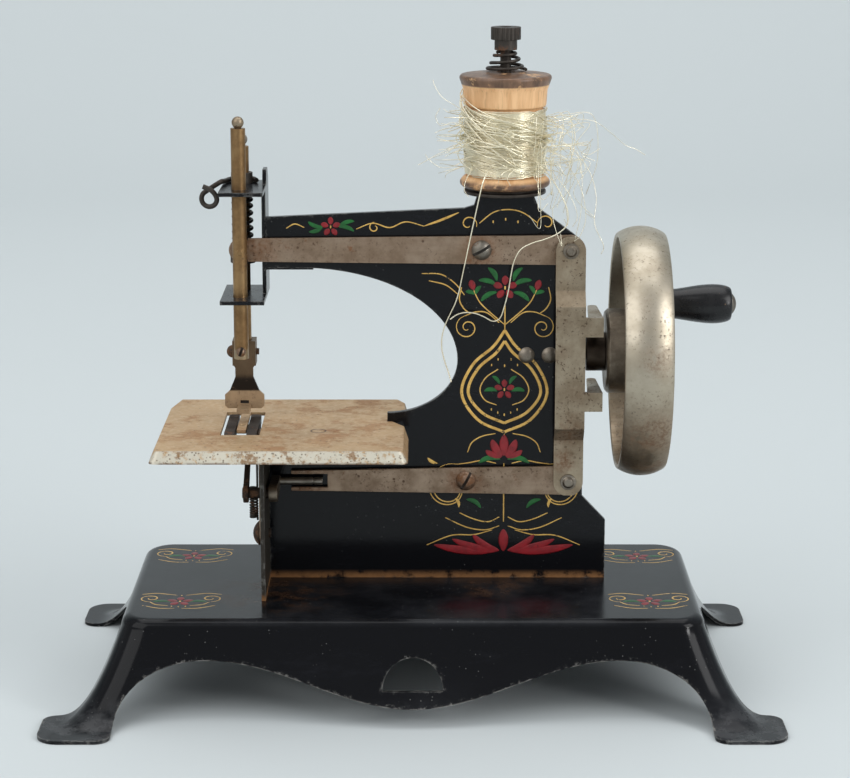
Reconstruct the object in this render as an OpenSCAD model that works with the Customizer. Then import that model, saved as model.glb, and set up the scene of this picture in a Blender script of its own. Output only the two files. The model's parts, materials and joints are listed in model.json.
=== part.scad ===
// Toy chain-stitch sewing machine with a hand wheel, in millimetres.
// Origin on the floor under the middle of the base, X to the wheel, Y to the back, Z up.

/* [Base] */
// Width of the flat top of the base
base_top_w = 158; // [140:1:176]
// Depth of the flat top of the base
base_top_d = 75; // [66:1:86]
// Height of the top of the base above the floor
base_h = 27; // [25:1:34]
// Width over the toes
toe_span_w = 198.5; // [188:0.5:214]
// Depth over the toes
toe_span_d = 117; // [106:0.5:128]
// Thickness of the pressed sheet
base_sheet = 1; // [0.8:0.1:1.4]
// Radius of the pressed edge round the top
top_round = 3; // [2:0.5:4]
// Corner radius of the top, seen from above
base_corner_r = 8; // [6:0.5:12]
// How far inside the corner of the top the arch beside a leg begins
leg_in = 23.2; // [20:0.2:27]
// How far outside the corner of the top a toe's inner edge stands
toe_out = 0.8; // [0.4:0.1:1.6]
// Height of the arch beside each leg
arch_h = 16.8; // [13:0.2:19]
// Height of the belly of the skirt above the floor
belly_h = 5.3; // [4:0.1:7.5]
// Height of the arch in each end of the base
end_arch_h = 14; // [10:0.5:18]
// Width of the half-moon clamp hole in the front skirt
clamp_w = 16.2; // [12:0.2:18]
// Height of the straight edge of the clamp hole above the floor
clamp_z = 9.4; // [8.6:0.2:10.4]

/* [Frame plate] */
// Thickness of the flat frame plate
frame_t = 1.6; // [1.2:0.1:2]
// How far the front of the plate stands behind the middle of the base
frame_y = 2; // [0:0.5:4]
// Height of the top edge of the arm above the upper pivot
arm_top = 10.8; // [9.6:0.2:13]
// Height of the arm at its free end
arm_end_h = 16; // [15:0.5:18]
// Free end of the arm, left of the middle of the base
arm_reach = 40.4; // [38:0.2:41]
// Right end of the plate at the base
plate_foot_x = 54; // [50:0.5:60]
// Width of the neck that carries the spool
neck_w = 15.6; // [14:0.2:20]
// Height of the neck above the arm
neck_h = 4; // [3:0.5:6]
// Depth of the seat folded back from the neck
neck_fold = 12; // [11:0.5:16]
// Furthest point of the throat to the right
throat_x = 12.3; // [8:0.1:13]
// Thickness of the end plate
end_t = 1.2; // [1:0.1:1.4]
// Front edge of the end plate before the middle of the base
end_front = 20; // [18:0.5:24]
// Back edge of the end plate behind the middle of the base
end_back = 14; // [10:0.5:20]

/* [Cloth plate] */
// Height of the cloth plate's top above the base
bed_h = 45.5; // [44:0.5:48]
// Width of the cloth plate
cloth_w = 69.2; // [66:0.2:76]
// Depth of the cloth plate
cloth_d = 62; // [54:1:70]
// Thickness of the cloth plate
cloth_t = 1; // [0.8:0.1:1.4]
// Drop of the bevelled front lip
lip_h = 3.2; // [2:0.2:4]
// Width of the feed opening
feed_hole_w = 10.8; // [10.4:0.1:12]
// Length of the feed opening
feed_hole_l = 26.6; // [25.6:0.2:30]

/* [Levers and link] */
// Thickness of the levers and the link
lever_t = 1.2; // [1:0.1:1.4]
// Room between the levers and the frame plate
lever_gap = 0.5; // [0.4:0.1:0.8]
// Height of the upper lever's pivot above the base
upper_h = 94.2; // [93:0.2:96]
// Height of the lower lever's pivot above the base
lower_h = 28.8; // [27:0.2:31]
// Place of the upper pivot along the machine
upper_pivot_x = 18.8; // [16:0.2:22]
// Place of the lower pivot along the machine
lower_pivot_x = 14.7; // [12:0.2:18]
// Place of the link along the machine
link_x = 43.3; // [42.6:0.1:43.6]
// Width of the link
link_w = 8.2; // [7.4:0.1:8.4]
// How far the middle of the link stands forward
link_off = 3.5; // [2.5:0.1:4.5]
// Height of the upper lever at the needle bar
lever_w_left = 6.4; // [5.4:0.1:7]
// Height of both levers at the link
lever_w_right = 8.3; // [7:0.1:9]
// Height of the lower lever at its fork
fork_w = 5.8; // [5.4:0.1:6.6]
// Height of the slot in the lower lever's fork
fork_slot = 3.8; // [3.6:0.1:4]
// Left end of the lower lever's fork
fork_x = -34.2; // [-35:0.1:-33]
// Length of the slot in the fork
fork_len = 10.2; // [9:0.1:12]
// Diameter of the pivot screws' shoulders
pivot_d = 4; // [3.4:0.1:4.4]
// Diameter of the pivot screws' heads
screw_head_d = 5.5; // [5.2:0.1:6.4]
// Diameter of the link rivets
rivet_d = 2.6; // [2:0.1:3]

/* [Needle bar] */
// Place of both bars along the machine
needle_x = -47.3; // [-47.6:0.1:-47]
// Diameter of the needle bar and the presser bar
bar_d = 4; // [3.8:0.1:4.2]
// Share of the room from the cloth plate to the lower tab that lies under the needle bar
needle_share = 0.5221; // [0.5:0.0001:0.58]
// Upper end of the needle bar above the upper pivot
needle_top = 33.8; // [29:0.2:40]
// Diameter of the ball on the needle bar
ball_d = 3.3; // [2.6:0.1:5]
// Diameter of the needle socket
socket_d = 1.7; // [1.2:0.1:2]
// Depth of the needle socket
socket_l = 9; // [6:0.5:12]
// Diameter of the pin that the upper lever drives
drive_pin_d = 1.6; // [1.2:0.1:2]

/* [Presser] */
// How far the presser bar stands behind the needle bar
bar_step = 12; // [11:0.5:13]
// Upper end of the presser bar above the upper pivot
presser_top = 27.4; // [26:0.2:32]
// Underside of the foot above the cloth plate
foot_rise = 2.6; // [2.2:0.1:3.4]
// Width of the presser foot's plate
foot_w = 11; // [9:0.2:12]
// Thickness of the presser foot's sheet
foot_t = 1.1; // [0.9:0.1:1.3]
// Width of the clamp block on the presser bar
block_w = 6.5; // [6:0.1:7.5]
// Height of the clamp block
block_h = 7; // [5.5:0.1:8]
// Outer diameter of the presser spring
spring_d = 6.1; // [5.9:0.1:6.6]
// Wire of the presser spring
spring_wire = 0.9; // [0.7:0.05:0.95]
// Turns of the presser spring
spring_turns = 10; // [6:1:10]

/* [Face bracket] */
// Thickness of the bracket's sheet
bracket_t = 1.1; // [0.9:0.1:1.3]
// Top of the upper tab above the upper pivot
upper_tab = 17.2; // [16.6:0.2:19]
// Top of the lower tab below the upper pivot
lower_tab = 12.5; // [11.4:0.1:15]
// Reach of the tabs left of the bracket's web
tab_reach = 11; // [10:0.2:13]
// Front edge of the tabs before the needle bar
tab_front = 7; // [5:0.5:9]
// Back edge of the tabs behind the presser bar
tab_back = 6; // [5:0.5:8]
// Wire of the thread guide
guide_wire = 1.4; // [1:0.1:1.5]

/* [Handwheel] */
// Diameter of the wheel
wheel_d = 69.8; // [66:0.2:76]
// Width of the rim
wheel_w = 13.4; // [12:0.2:15]
// Left edge of the rim along the machine
wheel_x = 56.7; // [56:0.1:60]
// Height of the wheel's axis above the middle between the two pivots
wheel_rise = 2.9; // [1:0.1:4]
// Diameter of the hub
hub_d = 23.6; // [20:0.2:26]
// Left face of the hub along the machine
hub_x = 53.5; // [53.2:0.1:54.5]
// Diameter of the shaft
shaft_d = 5; // [4:0.1:5.4]
// Wall of the bearing in front of the shaft
bearing_wall = 2.1; // [1.9:0.1:2.6]
// Diameter of the driving eccentric
ecc_d = 10.8; // [9.4:0.1:11.4]
// Throw of the driving eccentric
ecc_throw = 1.1; // [0.6:0.1:1.2]
// Number of spokes in the wheel's web
spokes = 4; // [3:1:6]

/* [Handle] */
// Radius of the crank
crank_r = 24; // [22:0.5:25]
// Angle of the handle above the level line, at the back of the wheel
crank_deg = 22; // [0:1:60]
// Length of the wooden grip
grip_len = 20.8; // [16:0.2:24]
// Largest diameter of the grip
grip_d = 11.3; // [10:0.1:13]
// Diameter of the grip at the wheel
grip_neck_d = 8; // [7:0.1:9]
// Diameter of the handle's axle
axle_d = 3.4; // [2.6:0.1:4]

/* [Spool] */
// Place of the spool along the machine
spool_x = 25.3; // [24:0.1:27]
// Diameter of the spool's flanges
spool_d = 25.4; // [24:0.1:27]
// Length of the spool
spool_len = 31.5; // [29:0.5:36]
// Diameter of the spool's barrel under the thread
barrel_d = 20.6; // [18:0.1:21]
// Diameter of the hole through the spool
spool_bore = 5.2; // [4.4:0.1:7]
// Diameter of the spool pin
spool_pin_d = 3; // [2.4:0.1:3.4]
// Thickness of the seat under the spool
seat_t = 1.6; // [1:0.1:2.4]
// Diameter of the seat under the spool
seat_d = 22.6; // [18:0.1:24]
// Depth of thread left on the spool under the outer layer
thread_depth = 0.5; // [0.3:0.05:0.8]
// Thickness of the thread as wound
thread_d = 0.45; // [0.35:0.01:0.46]
// Loops of thread in the outer layer
thread_loops = 20; // [12:1:20]
// Length of barrel that the thread covers
thread_len = 18; // [17.5:0.1:19]
// Outer diameter of the cone spring at the spool
cone_d = 11.9; // [10:0.1:13]
// Wire of the cone spring
cone_wire = 0.9; // [0.6:0.05:1]
// Height of the cone spring
cone_h = 5.8; // [5.6:0.1:8]
// Diameter of the thumb nut's knurled head
nut_d = 8.2; // [7:0.1:10]
// Height of the thumb nut's head
nut_head = 3.4; // [2.6:0.1:5]
// Diameter of the thumb nut's collar
nut_collar_d = 6.2; // [5:0.1:7]
// Height of the thumb nut's collar
nut_collar = 2.8; // [2:0.1:4]

/* [Looper and feed] */
// Height of the rocker shaft above the base
rocker_h = 28.8; // [28:0.1:29.6]
// Rocker shaft before the middle of the base
rocker_front = 12.5; // [11.5:0.1:14]
// Diameter of the rocker shaft
rocker_d = 3; // [2.4:0.1:3.4]
// Diameter of the crank pin in the fork
crank_pin_d = 2.2; // [1.8:0.1:2.2]
// Height of the feed lever's pivot above the base
feed_h = 14.6; // [13:0.2:16]
// Feed lever's pivot before the middle of the base
feed_front = 3; // [2:0.1:3.4]
// Thickness of the feed lever
feed_t = 0.8; // [0.6:0.05:0.85]
// Width of each feed bar
feed_bar_w = 2.8; // [2.4:0.1:3]
// Length of each feed bar
feed_bar_l = 22; // [18:0.5:22.4]
// Teeth on each feed bar
feed_teeth = 14; // [8:1:18]
// Wire of the feed spring
feed_wire = 0.6; // [0.5:0.05:0.7]
// Turns of the feed spring
feed_turns = 6; // [4:1:7]

/* [Fits] */
// Running clearance of shafts and bars, on the radius
run_fit = 0.06; // [0.03:0.01:0.1]
// Seat clearance of pressed pins, on the radius
seat_fit = 0.02; // [0.01:0.005:0.03]
// Clearance between flat faces that pass each other
side_gap = 0.15; // [0.1:0.05:0.2]
// Clearance between a curved face and what passes it
pass_gap = 0.3; // [0.25:0.05:0.4]

/* [Hidden] */
$fn = 48;

// Overrun of a cut past the face that it opens
cut = 1;
// How far a shank runs into its head
sink = 0.3;
// Colours of the finishes
black_paint = [0.06, 0.06, 0.07];
nickel = [0.60, 0.57, 0.53];
worn_steel = [0.50, 0.45, 0.40];
brassy = [0.58, 0.44, 0.30];
iron = [0.26, 0.23, 0.21];
tan_tin = [0.72, 0.62, 0.48];
spool_wood = [0.86, 0.64, 0.42];
black_wood = [0.07, 0.06, 0.06];
cream = [0.88, 0.86, 0.74];

// Heights above the floor
bed_z = base_h + bed_h;
upper_z = base_h + upper_h;
arm_z = upper_z + arm_top;
lower_z = base_h + lower_h;
wheel_z = (upper_z + lower_z) / 2 + wheel_rise;
rocker_z = base_h + rocker_h;
feed_z = base_h + feed_h;
neck_z = arm_z + neck_h;

// Layers from front to back
frame_back = frame_y + frame_t;
lever_y = frame_y - lever_gap - lever_t;
link_y = lever_y - side_gap - lever_t;
needle_y = lever_y - pass_gap - bar_d / 2;
presser_y = needle_y + bar_step;
wheel_y = frame_back + bearing_wall + shaft_d / 2;
spool_y = frame_y + neck_fold / 2;

// Places along the machine
link_left = link_x - link_w / 2;
link_right = link_x + link_w / 2;
web_x = -arm_reach - bracket_t;
end_x = -arm_reach - end_t;
tab_left = web_x - tab_reach;

// Spool stack
seat_z = neck_z;
spool_z = seat_z + seat_t + side_gap;
spool_top = spool_z + spool_len;
thread_z = spool_z + 3.6;
core_r = barrel_d / 2 + thread_depth;
wind_r = core_r + thread_d;
nut_z = spool_top + side_gap + cone_h;
nut_top = nut_z + nut_collar + nut_head;

// Unit vector along v
function unit(v) = v / norm(v);
// Points of an arc about c from angle a to angle b
function arc(c, r, a, b, n) = [for (i = [0:n]) c + r * [cos(a + (b - a) * i / n), sin(a + (b - a) * i / n)]];
// Points of an upright ellipse arc about c
function oval(c, rx, rz, a, b, n) =
    [for (i = [0:n]) c + [rx * cos(a + (b - a) * i / n), rz * sin(a + (b - a) * i / n)]];
// Tangents of a route
function tangents(p) =
    [for (i = [0:len(p) - 1]) unit(p[min(i + 1, len(p) - 1)] - p[max(i - 1, 0)])];
// A normal to t
function normal_to(t) = unit(cross(t, abs(t.z) < 0.9 ? [0, 0, 1] : [1, 0, 0]));
// Normals carried along the tangents without twist
function carried(t) = [for (i = 0, n = normal_to(t[0]); i < len(t);
    i = i + 1, n = i < len(t) ? unit(n - (n * t[i]) * t[i]) : n) n];
// Points of one ring of a tube
function tube_ring(c, t, n, r, m) =
    [for (k = [0:m - 1]) c + r * (cos(360 * k / m) * n + sin(360 * k / m) * cross(t, n))];
// Least gap of a tube of diameter d to itself, between points that are apart rings or more from each other
function least_gap(p, d, apart) =
    min([for (i = [0:len(p) - 1 - apart], j = [i + apart:len(p) - 1]) norm(p[i] - p[j])]) - d;
// Helix about Z from radius r0 at z0 to radius r1 at z1
function helix(r0, r1, z0, z1, turns, steps) = [for (i = [0:turns * steps]) let (f = i / (turns * steps))
    [(r0 + (r1 - r0) * f) * cos(360 * turns * f), (r0 + (r1 - r0) * f) * sin(360 * turns * f),
    z0 + (z1 - z0) * f]];
// Coil whose wire runs straight along Z for one diameter at both ends
function coil(r0, r1, z0, z1, d, turns, steps) =
    let (turn = helix(r0, r1, z0 + d, z1 - d, turns, steps), last = turn[len(turn) - 1])
    concat([[r0, 0, z0]], turn, [[last.x, last.y, z1]]);

// Tube of radius r with m sides along the points p
module tube(p, r, m) {
    t = tangents(p);
    n = carried(t);
    last = (len(p) - 1) * m;
    rings = [for (i = [0:len(p) - 1]) each tube_ring(p[i], t[i], n[i], r, m)];
    sides = [for (i = [0:len(p) - 2], k = [0:m - 1]) let (a = i * m + k, b = i * m + (k + 1) % m)
        each [[a, a + m, b + m], [a, b + m, b]]];
    caps = [for (k = [1:m - 2]) each [[0, k, k + 1], [last, last + k + 1, last + k]]];
    polyhedron(rings, concat(sides, caps));
}

// Flat piece in the XZ plane, from y to y + t
module upright(y, t) {
    translate([0, y + t, 0]) rotate([90, 0, 0]) linear_extrude(t) children();
}

// Flat piece in the YZ plane, from x to x + t
module crosswise(x, t) {
    translate([x, 0, 0]) rotate([90, 0, 90]) linear_extrude(t) children();
}

// Round bar along X from x0 to x1
module bar_x(x0, x1, y, z, d) {
    translate([x0, y, z]) rotate([0, 90, 0]) cylinder(h = x1 - x0, d = d);
}

// Round bar along Y from y0 to y1
module bar_y(x, y0, y1, z, d) {
    translate([x, y1, z]) rotate([90, 0, 0]) cylinder(h = y1 - y0, d = d);
}

// Round bar along Z from z0 to z1
module bar_z(x, y, z0, z1, d) {
    translate([x, y, z0]) cylinder(h = z1 - z0, d = d);
}

// Domed head of diameter d and height h, flat side on z = 0
module dome(d, h) {
    r = (d * d / 4 + h * h) / (2 * h);
    intersection() {
        translate([0, 0, h - r]) sphere(r = r);
        cylinder(h = h + cut, d = d);
    }
}

// Slotted domed screw head, flat side on z = 0
module slotted(d, h, slot_w, turn) {
    difference() {
        dome(d, h);
        rotate([0, 0, turn]) translate([-d, -slot_w / 2, h * 0.45]) cube([2 * d, slot_w, h]);
    }
}

// Base
corner_steps = 5;
flare_steps = 8;
flare_power = 2.1;
pad_share = 0.8;
arch_gap = 0.6;
arch_x = base_top_w / 2 - leg_in;
toe_x = base_top_w / 2 + toe_out;
toe_y = base_top_d / 2 + 2 * toe_out;
toe_r = 4;
tab_len = 7;
lug_len = 3;
lug_drop = 0.2;
// Places of the frame plate's tabs along the base
frame_tabs = [-28, 8, 44];
// Places of the end plate's tabs across the base
end_tabs = [-15, 9];

// Rounded rectangle of half sizes a and b at height z
function base_ring(a, b, r, z) = [for (q = [0:3], k = [0:corner_steps])
    let (t = 90 * (q + k / corner_steps), sx = q == 0 || q == 3 ? 1 : -1, sy = q < 2 ? 1 : -1)
    [sx * (a - r) + r * cos(t), sy * (b - r) + r * sin(t), z]];
// Ring of the flared wall at share s of the flare, u of its fall, sunk along its normal by w
function flare_ring(s, u, w) =
    let (fw = (toe_span_w - base_top_w) / 2, fd = (toe_span_d - base_top_d) / 2,
        fall = base_h - top_round - base_sheet, run = pad_share * (fw + fd) / 2,
        slope = unit([fall * flare_power * pow(1 - u, flare_power - 1), run]))
    base_ring(base_top_w / 2 + fw * s - w * slope.x, base_top_d / 2 + fd * s - w * slope.x,
        base_corner_r - 2 * s - w * slope.x / 2, base_sheet + fall * pow(1 - u, flare_power) - w * slope.y);
// Ring of the pressed edge, inset by i and down by d
function edge_ring(i, d) = base_ring(base_top_w / 2 - i, base_top_d / 2 - i, base_corner_r - i * 0.8, base_h - d);
base_outer = concat([edge_ring(top_round, 0), edge_ring(top_round * 0.3, top_round * 0.3)],
    [for (i = [0:flare_steps]) flare_ring(pad_share * i / flare_steps, i / flare_steps, 0)],
    [flare_ring(1, 1, 0)]);
base_inner = concat([flare_ring(1, 1, base_sheet)],
    [for (i = [flare_steps:-1:0]) flare_ring(pad_share * i / flare_steps, i / flare_steps, base_sheet)],
    [edge_ring(top_round * 0.3 + base_sheet * 0.7, top_round * 0.3 + base_sheet * 0.7),
    edge_ring(top_round, base_sheet)]);

module base_wall() {
    rings = concat(base_outer, base_inner);
    m = len(rings[0]);
    last = (len(rings) - 1) * m;
    sides = [for (i = [0:len(rings) - 2], k = [0:m - 1]) let (a = i * m + k, b = i * m + (k + 1) % m)
        each [[a, b, b + m], [a, b + m, a + m]]];
    caps = [[for (k = [m - 1:-1:0]) k], [for (k = [0:m - 1]) last + k]];
    polyhedron([for (r = rings) each r], concat(sides, caps));
}

// Arches and belly of the long skirts, as the space below them
module skirt_gap() {
    mid = (arch_h + belly_h) / 2;
    wave = (arch_h - belly_h) / 2;
    steps = 16;
    right = [for (i = [0:steps]) [arch_x * i / steps, mid - wave * cos(180 * i / steps)]];
    leg = oval([arch_x, 0], toe_x - arch_x, arch_h, 90, 0, 10);
    half = concat(right, [for (i = [1:len(leg) - 1]) leg[i]]);
    polygon(concat([for (p = half) p], [[toe_x, -cut], [-toe_x, -cut]],
        [for (i = [len(half) - 1:-1:1]) [-half[i].x, half[i].y]]));
}

// Rounds the free corner of a toe at a, b, which opens towards c, d
module toe_round(a, b, c, d) {
    translate([0, 0, -cut]) linear_extrude(3 + cut) polygon(concat([[a - cut * c, b - cut * d]],
        [for (i = [0:6]) [a + c * toe_r * (1 - sin(15 * i)), b + d * toe_r * (1 - cos(15 * i))]]));
}

module base_shell() {
    color(black_paint) difference() {
        base_wall();
        for (i = [-1, 1], j = [-1, 1]) {
            toe_round(i * toe_x, j * toe_span_d / 2, i, -j);
            toe_round(i * toe_span_w / 2, j * toe_y, -i, j);
        }
        upright(-toe_span_d, 2 * toe_span_d) skirt_gap();
        crosswise(-toe_span_w, 2 * toe_span_w)
            polygon(concat(oval([0, 0], toe_y, end_arch_h, 0, 180, 16), [[-toe_y, -cut], [toe_y, -cut]]));
        translate([0, -toe_span_d / 2, clamp_z]) intersection() {
            rotate([-90, 0, 0]) cylinder(h = toe_span_d / 2, d = clamp_w);
            translate([-clamp_w, 0, 0]) cube([2 * clamp_w, toe_span_d, clamp_w]);
        }
        for (x = frame_tabs) translate([x - tab_len / 2, frame_y, base_h - top_round - cut])
            slot_box(tab_len, frame_t);
        for (y = end_tabs) translate([end_x, y - tab_len / 2, base_h - top_round - cut])
            slot_box(end_t, tab_len);
    }
}

// Slot through the top of the base for a tab of a by b
module slot_box(a, b) {
    translate([-run_fit, -run_fit, 0]) cube([a + 2 * run_fit, b + 2 * run_fit, top_round + 2 * cut]);
}

// Frame plate
throat_low = 17.5;
throat_rise = 2.5;
shoulder_r = 8;
foot_step = 17;
foot_slope = 24;
neck_left = spool_x - neck_w / 2;
neck_right = spool_x + neck_w / 2;
bed_top = bed_z - cloth_t;
throat_mid = bed_z + throat_low;
slit_x = -7.2;
rest_w = 8;
rest_front = 16;
rest_x = -26;
end_clip = 6;

module frame_outline() {
    upper = oval([-31, throat_mid], throat_x + 31, arm_z - arm_end_h - throat_mid, 90, 0, 24);
    lower = oval([slit_x, throat_mid], throat_x - slit_x, throat_mid - bed_z - throat_rise, 0, -90, 18);
    polygon(concat(
        [[-arm_reach, base_h], [plate_foot_x, base_h], [plate_foot_x, base_h + foot_step],
        [link_right, base_h + foot_slope]],
        arc([link_right - shoulder_r, arm_z - 5 - shoulder_r], shoulder_r, 0, 55, 8),
        [[neck_right + 1.4, arm_z + 0.6], [neck_right, neck_z], [neck_left, neck_z],
        [neck_left - 0.8, arm_z + 1.4], [neck_left - 3.4, arm_z + 0.6], [-arm_reach, arm_z - 1.9],
        [-arm_reach, arm_z - arm_end_h]],
        upper, lower, [[slit_x, bed_top], [-arm_reach, bed_top]]));
}

module frame_plate() {
    color(black_paint) difference() {
        union() {
            upright(frame_y, frame_t) frame_outline();
            translate([neck_left, frame_y, neck_z - frame_t]) cube([neck_w, neck_fold, frame_t]);
            translate([rest_x - rest_w / 2, frame_y - rest_front, bed_top - frame_t])
                cube([rest_w, rest_front + frame_t, frame_t]);
            for (x = frame_tabs) translate([x - tab_len / 2, frame_y, base_h - base_sheet - lug_drop - frame_t]) {
                cube([tab_len, frame_t, base_sheet + lug_drop + frame_t + cut]);
                cube([tab_len, frame_t + lug_len, frame_t]);
            }
        }
        bar_y(upper_pivot_x, frame_y - cut, frame_back + cut, upper_z, pivot_d + 2 * seat_fit);
        bar_y(lower_pivot_x, frame_y - cut, frame_back + cut, lower_z, pivot_d + 2 * seat_fit);
        for (x = bearing_rivet_x)
            bar_y(x, frame_y - cut, frame_back + cut, wheel_z, bearing_rivet_d + 2 * seat_fit);
        for (x = bracket_rivet_x)
            bar_y(x, frame_y - cut, frame_back + cut, upper_z, rivet_d + 2 * seat_fit);
        bar_z(spool_x, spool_y, neck_z - frame_t - cut, neck_z + cut, spool_pin_d + 2 * seat_fit);
        bar_z(rest_x, plate_rivet_y, bed_top - frame_t - cut, bed_top + cut, rivet_d + 2 * seat_fit);
    }
}

module end_plate() {
    color(black_paint) difference() {
        union() {
            crosswise(end_x, end_t) polygon([[-end_front, base_h], [end_back, base_h], [end_back, bed_top - end_clip],
                [end_back - end_clip, bed_top], [-end_front, bed_top]]);
            for (y = end_tabs) translate([end_x, y - tab_len / 2, base_h - base_sheet - lug_drop - end_t]) {
                cube([end_t, tab_len, base_sheet + lug_drop + end_t + cut]);
                cube([end_t + lug_len, tab_len, end_t]);
            }
        }
        bar_x(end_x - cut, end_x + end_t + cut, -rocker_front, rocker_z, rocker_d + 2 * run_fit);
        bar_x(end_x - cut, end_x + end_t + cut, -feed_front, feed_z, feed_screw_d + 2 * seat_fit);
    }
}

// Cloth plate
cloth_right = slit_x + 6;
cloth_left = cloth_right - cloth_w;
cloth_front = -cloth_d / 2 - 2.4;
cloth_back = cloth_front + cloth_d + 1.4;
bevel_run = 1.3;
plate_rivet_in = 11;
plate_rivet_y = frame_y - plate_rivet_in;
plate_rivet_head = 3.6;
tongue_w = 2.5;
tongue_tip = 6;
needle_hole_d = 1.8;
feed_hole_front = -feed_hole_l / 2 - 0.4;

module cloth_outline() {
    slit_front = frame_y - run_fit;
    slit_back = frame_back + run_fit;
    difference() {
        polygon([[cloth_left, cloth_front], [cloth_right, cloth_front], [cloth_right, slit_front - 8],
            [slit_x + 1.4, slit_front], [slit_x - run_fit, slit_front], [slit_x - run_fit, slit_back],
            [slit_x + 1.4, slit_back], [cloth_right, slit_back + 6], [cloth_right, cloth_back - 9],
            [cloth_right - 4, cloth_back], [cloth_left + 3.8, cloth_back], [cloth_left + 0.6, cloth_back - 16],
            [cloth_left, cloth_back - 22]]);
        difference() {
            translate([needle_x - feed_hole_w / 2, feed_hole_front]) square([feed_hole_w, feed_hole_l]);
            translate([needle_x - tongue_w / 2, needle_y - tongue_tip]) square([tongue_w, feed_hole_l]);
        }
    }
}

// A block with bevelled sides between two heights, drawn in by a wall
module cloth_form(top, low, wall) {
    in_top = bevel_run * (1 - (bed_z - top) / lip_h) + wall;
    in_low = bevel_run * (1 - (bed_z - low) / lip_h) + wall;
    intersection() {
        upright(cloth_front - cut, cloth_back - cloth_front + 2 * cut) polygon([[cloth_left + in_low, low],
            [cloth_right - in_low, low], [cloth_right - in_top, top], [cloth_left + in_top, top]]);
        translate([cloth_left - cut, 0, 0]) rotate([90, 0, 90]) linear_extrude(cloth_w + 2 * cut)
            polygon([[cloth_front + in_low, low], [cloth_back - in_low, low], [cloth_back - in_top, top],
            [cloth_front + in_top, top]]);
    }
}

// Hollow under the plate, drawn in from the cut corners at the back
module cloth_hollow() {
    polygon([[cloth_left, cloth_front], [cloth_right, cloth_front], [cloth_right, cloth_back - 9 - 2.6 * cloth_t],
        [cloth_right - 4 - 1.2 * cloth_t, cloth_back], [cloth_left + 3.8 + 1.2 * cloth_t, cloth_back],
        [cloth_left + 0.6 + 1.2 * cloth_t, cloth_back - 16], [cloth_left + 1.2 * cloth_t, cloth_back - 22]]);
}

module cloth_plate() {
    color(tan_tin) difference() {
        intersection() {
            cloth_form(bed_z, bed_z - lip_h, 0);
            translate([0, 0, bed_z - lip_h - cut]) linear_extrude(lip_h + 2 * cut) cloth_outline();
        }
        intersection() {
            cloth_form(bed_top, bed_z - lip_h - cut, cloth_t);
            translate([0, 0, bed_z - lip_h - 2 * cut]) linear_extrude(lip_h + 2 * cut) cloth_hollow();
        }
        bar_z(needle_x, needle_y, bed_top - cut, bed_z + cut, needle_hole_d);
        bar_z(rest_x, plate_rivet_y, bed_top - cut, bed_z + cut, rivet_d + 2 * seat_fit);
        translate([rest_x, plate_rivet_y, bed_z - 0.4]) cylinder(h = cut, d = plate_rivet_head + 2 * seat_fit);
    }
}

module cloth_plate_rivet() {
    color(tan_tin) {
        bar_z(rest_x, plate_rivet_y, bed_top - frame_t - sink, bed_z, rivet_d);
        bar_z(rest_x, plate_rivet_y, bed_z - 0.4, bed_z, plate_rivet_head);
        translate([rest_x, plate_rivet_y, bed_top - frame_t]) rotate([180, 0, 0]) dome(plate_rivet_head + 0.4, 0.8);
    }
}

// Face bracket
bracket_rivet_x = [-36, -30.6];
bracket_ear = 14;
bracket_ear_h = 12;
upper_tab_z = upper_z + upper_tab;
lower_tab_z = upper_z - lower_tab;
tabs_front = needle_y - tab_front;
tabs_back = presser_y + tab_back;
tongue_rise = 4;

module bracket_tab(top) {
    difference() {
        translate([tab_left, tabs_front, top - bracket_t])
            cube([tab_reach + bracket_t, tabs_back - tabs_front, bracket_t]);
        for (y = [needle_y, presser_y])
            bar_z(needle_x, y, top - bracket_t - cut, top + cut, bar_d + 2 * run_fit);
    }
}

module face_bracket() {
    color(black_paint) difference() {
        union() {
            bracket_tab(upper_tab_z);
            bracket_tab(lower_tab_z);
            crosswise(web_x, bracket_t) polygon([[frame_y + 0.2, lower_tab_z - bracket_t],
                [tabs_back, lower_tab_z - bracket_t], [tabs_back, upper_tab_z + tongue_rise - 3],
                [tabs_back - 3, upper_tab_z + tongue_rise], [tabs_back - 8, upper_tab_z + tongue_rise],
                [tabs_back - 9, upper_tab_z], [frame_y + 0.2, upper_tab_z]]);
            translate([web_x, frame_back, upper_z - bracket_ear_h / 2])
                cube([bracket_ear, bracket_t, bracket_ear_h]);
        }
        for (x = bracket_rivet_x)
            bar_y(x, frame_back - cut, frame_back + bracket_t + cut, upper_z, rivet_d + 2 * seat_fit);
    }
}

module face_bracket_rivets() {
    color(black_paint) for (x = bracket_rivet_x) {
        bar_y(x, frame_y, frame_back + bracket_t + sink, upper_z, rivet_d);
        translate([x, frame_back + bracket_t, upper_z]) rotate([-90, 0, 0]) dome(rivet_d + 1.8, 1);
    }
}

// Shaft bearing behind the frame plate
bearing_left = 28;
bearing_right = 46.4;
bearing_h = 2 * (wheel_y - frame_back);
bearing_rivet_d = 2.6;
bearing_rivet_head = 4.7;
bearing_rivet_x = [31.5, 37.9];
bearing_rivet_deep = bearing_wall - 0.4;

module shaft_bearing() {
    color(iron) difference() {
        union() {
            translate([bearing_left, frame_back, wheel_z - bearing_h / 2])
                cube([bearing_right - bearing_left, wheel_y - frame_back, bearing_h]);
            bar_x(bearing_left, bearing_right, wheel_y, wheel_z, bearing_h);
        }
        bar_x(bearing_left - cut, bearing_right + cut, wheel_y, wheel_z, shaft_d + 2 * run_fit);
        for (x = bearing_rivet_x)
            bar_y(x, frame_back - cut, frame_back + bearing_rivet_deep, wheel_z, bearing_rivet_d + 2 * seat_fit);
    }
}

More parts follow.
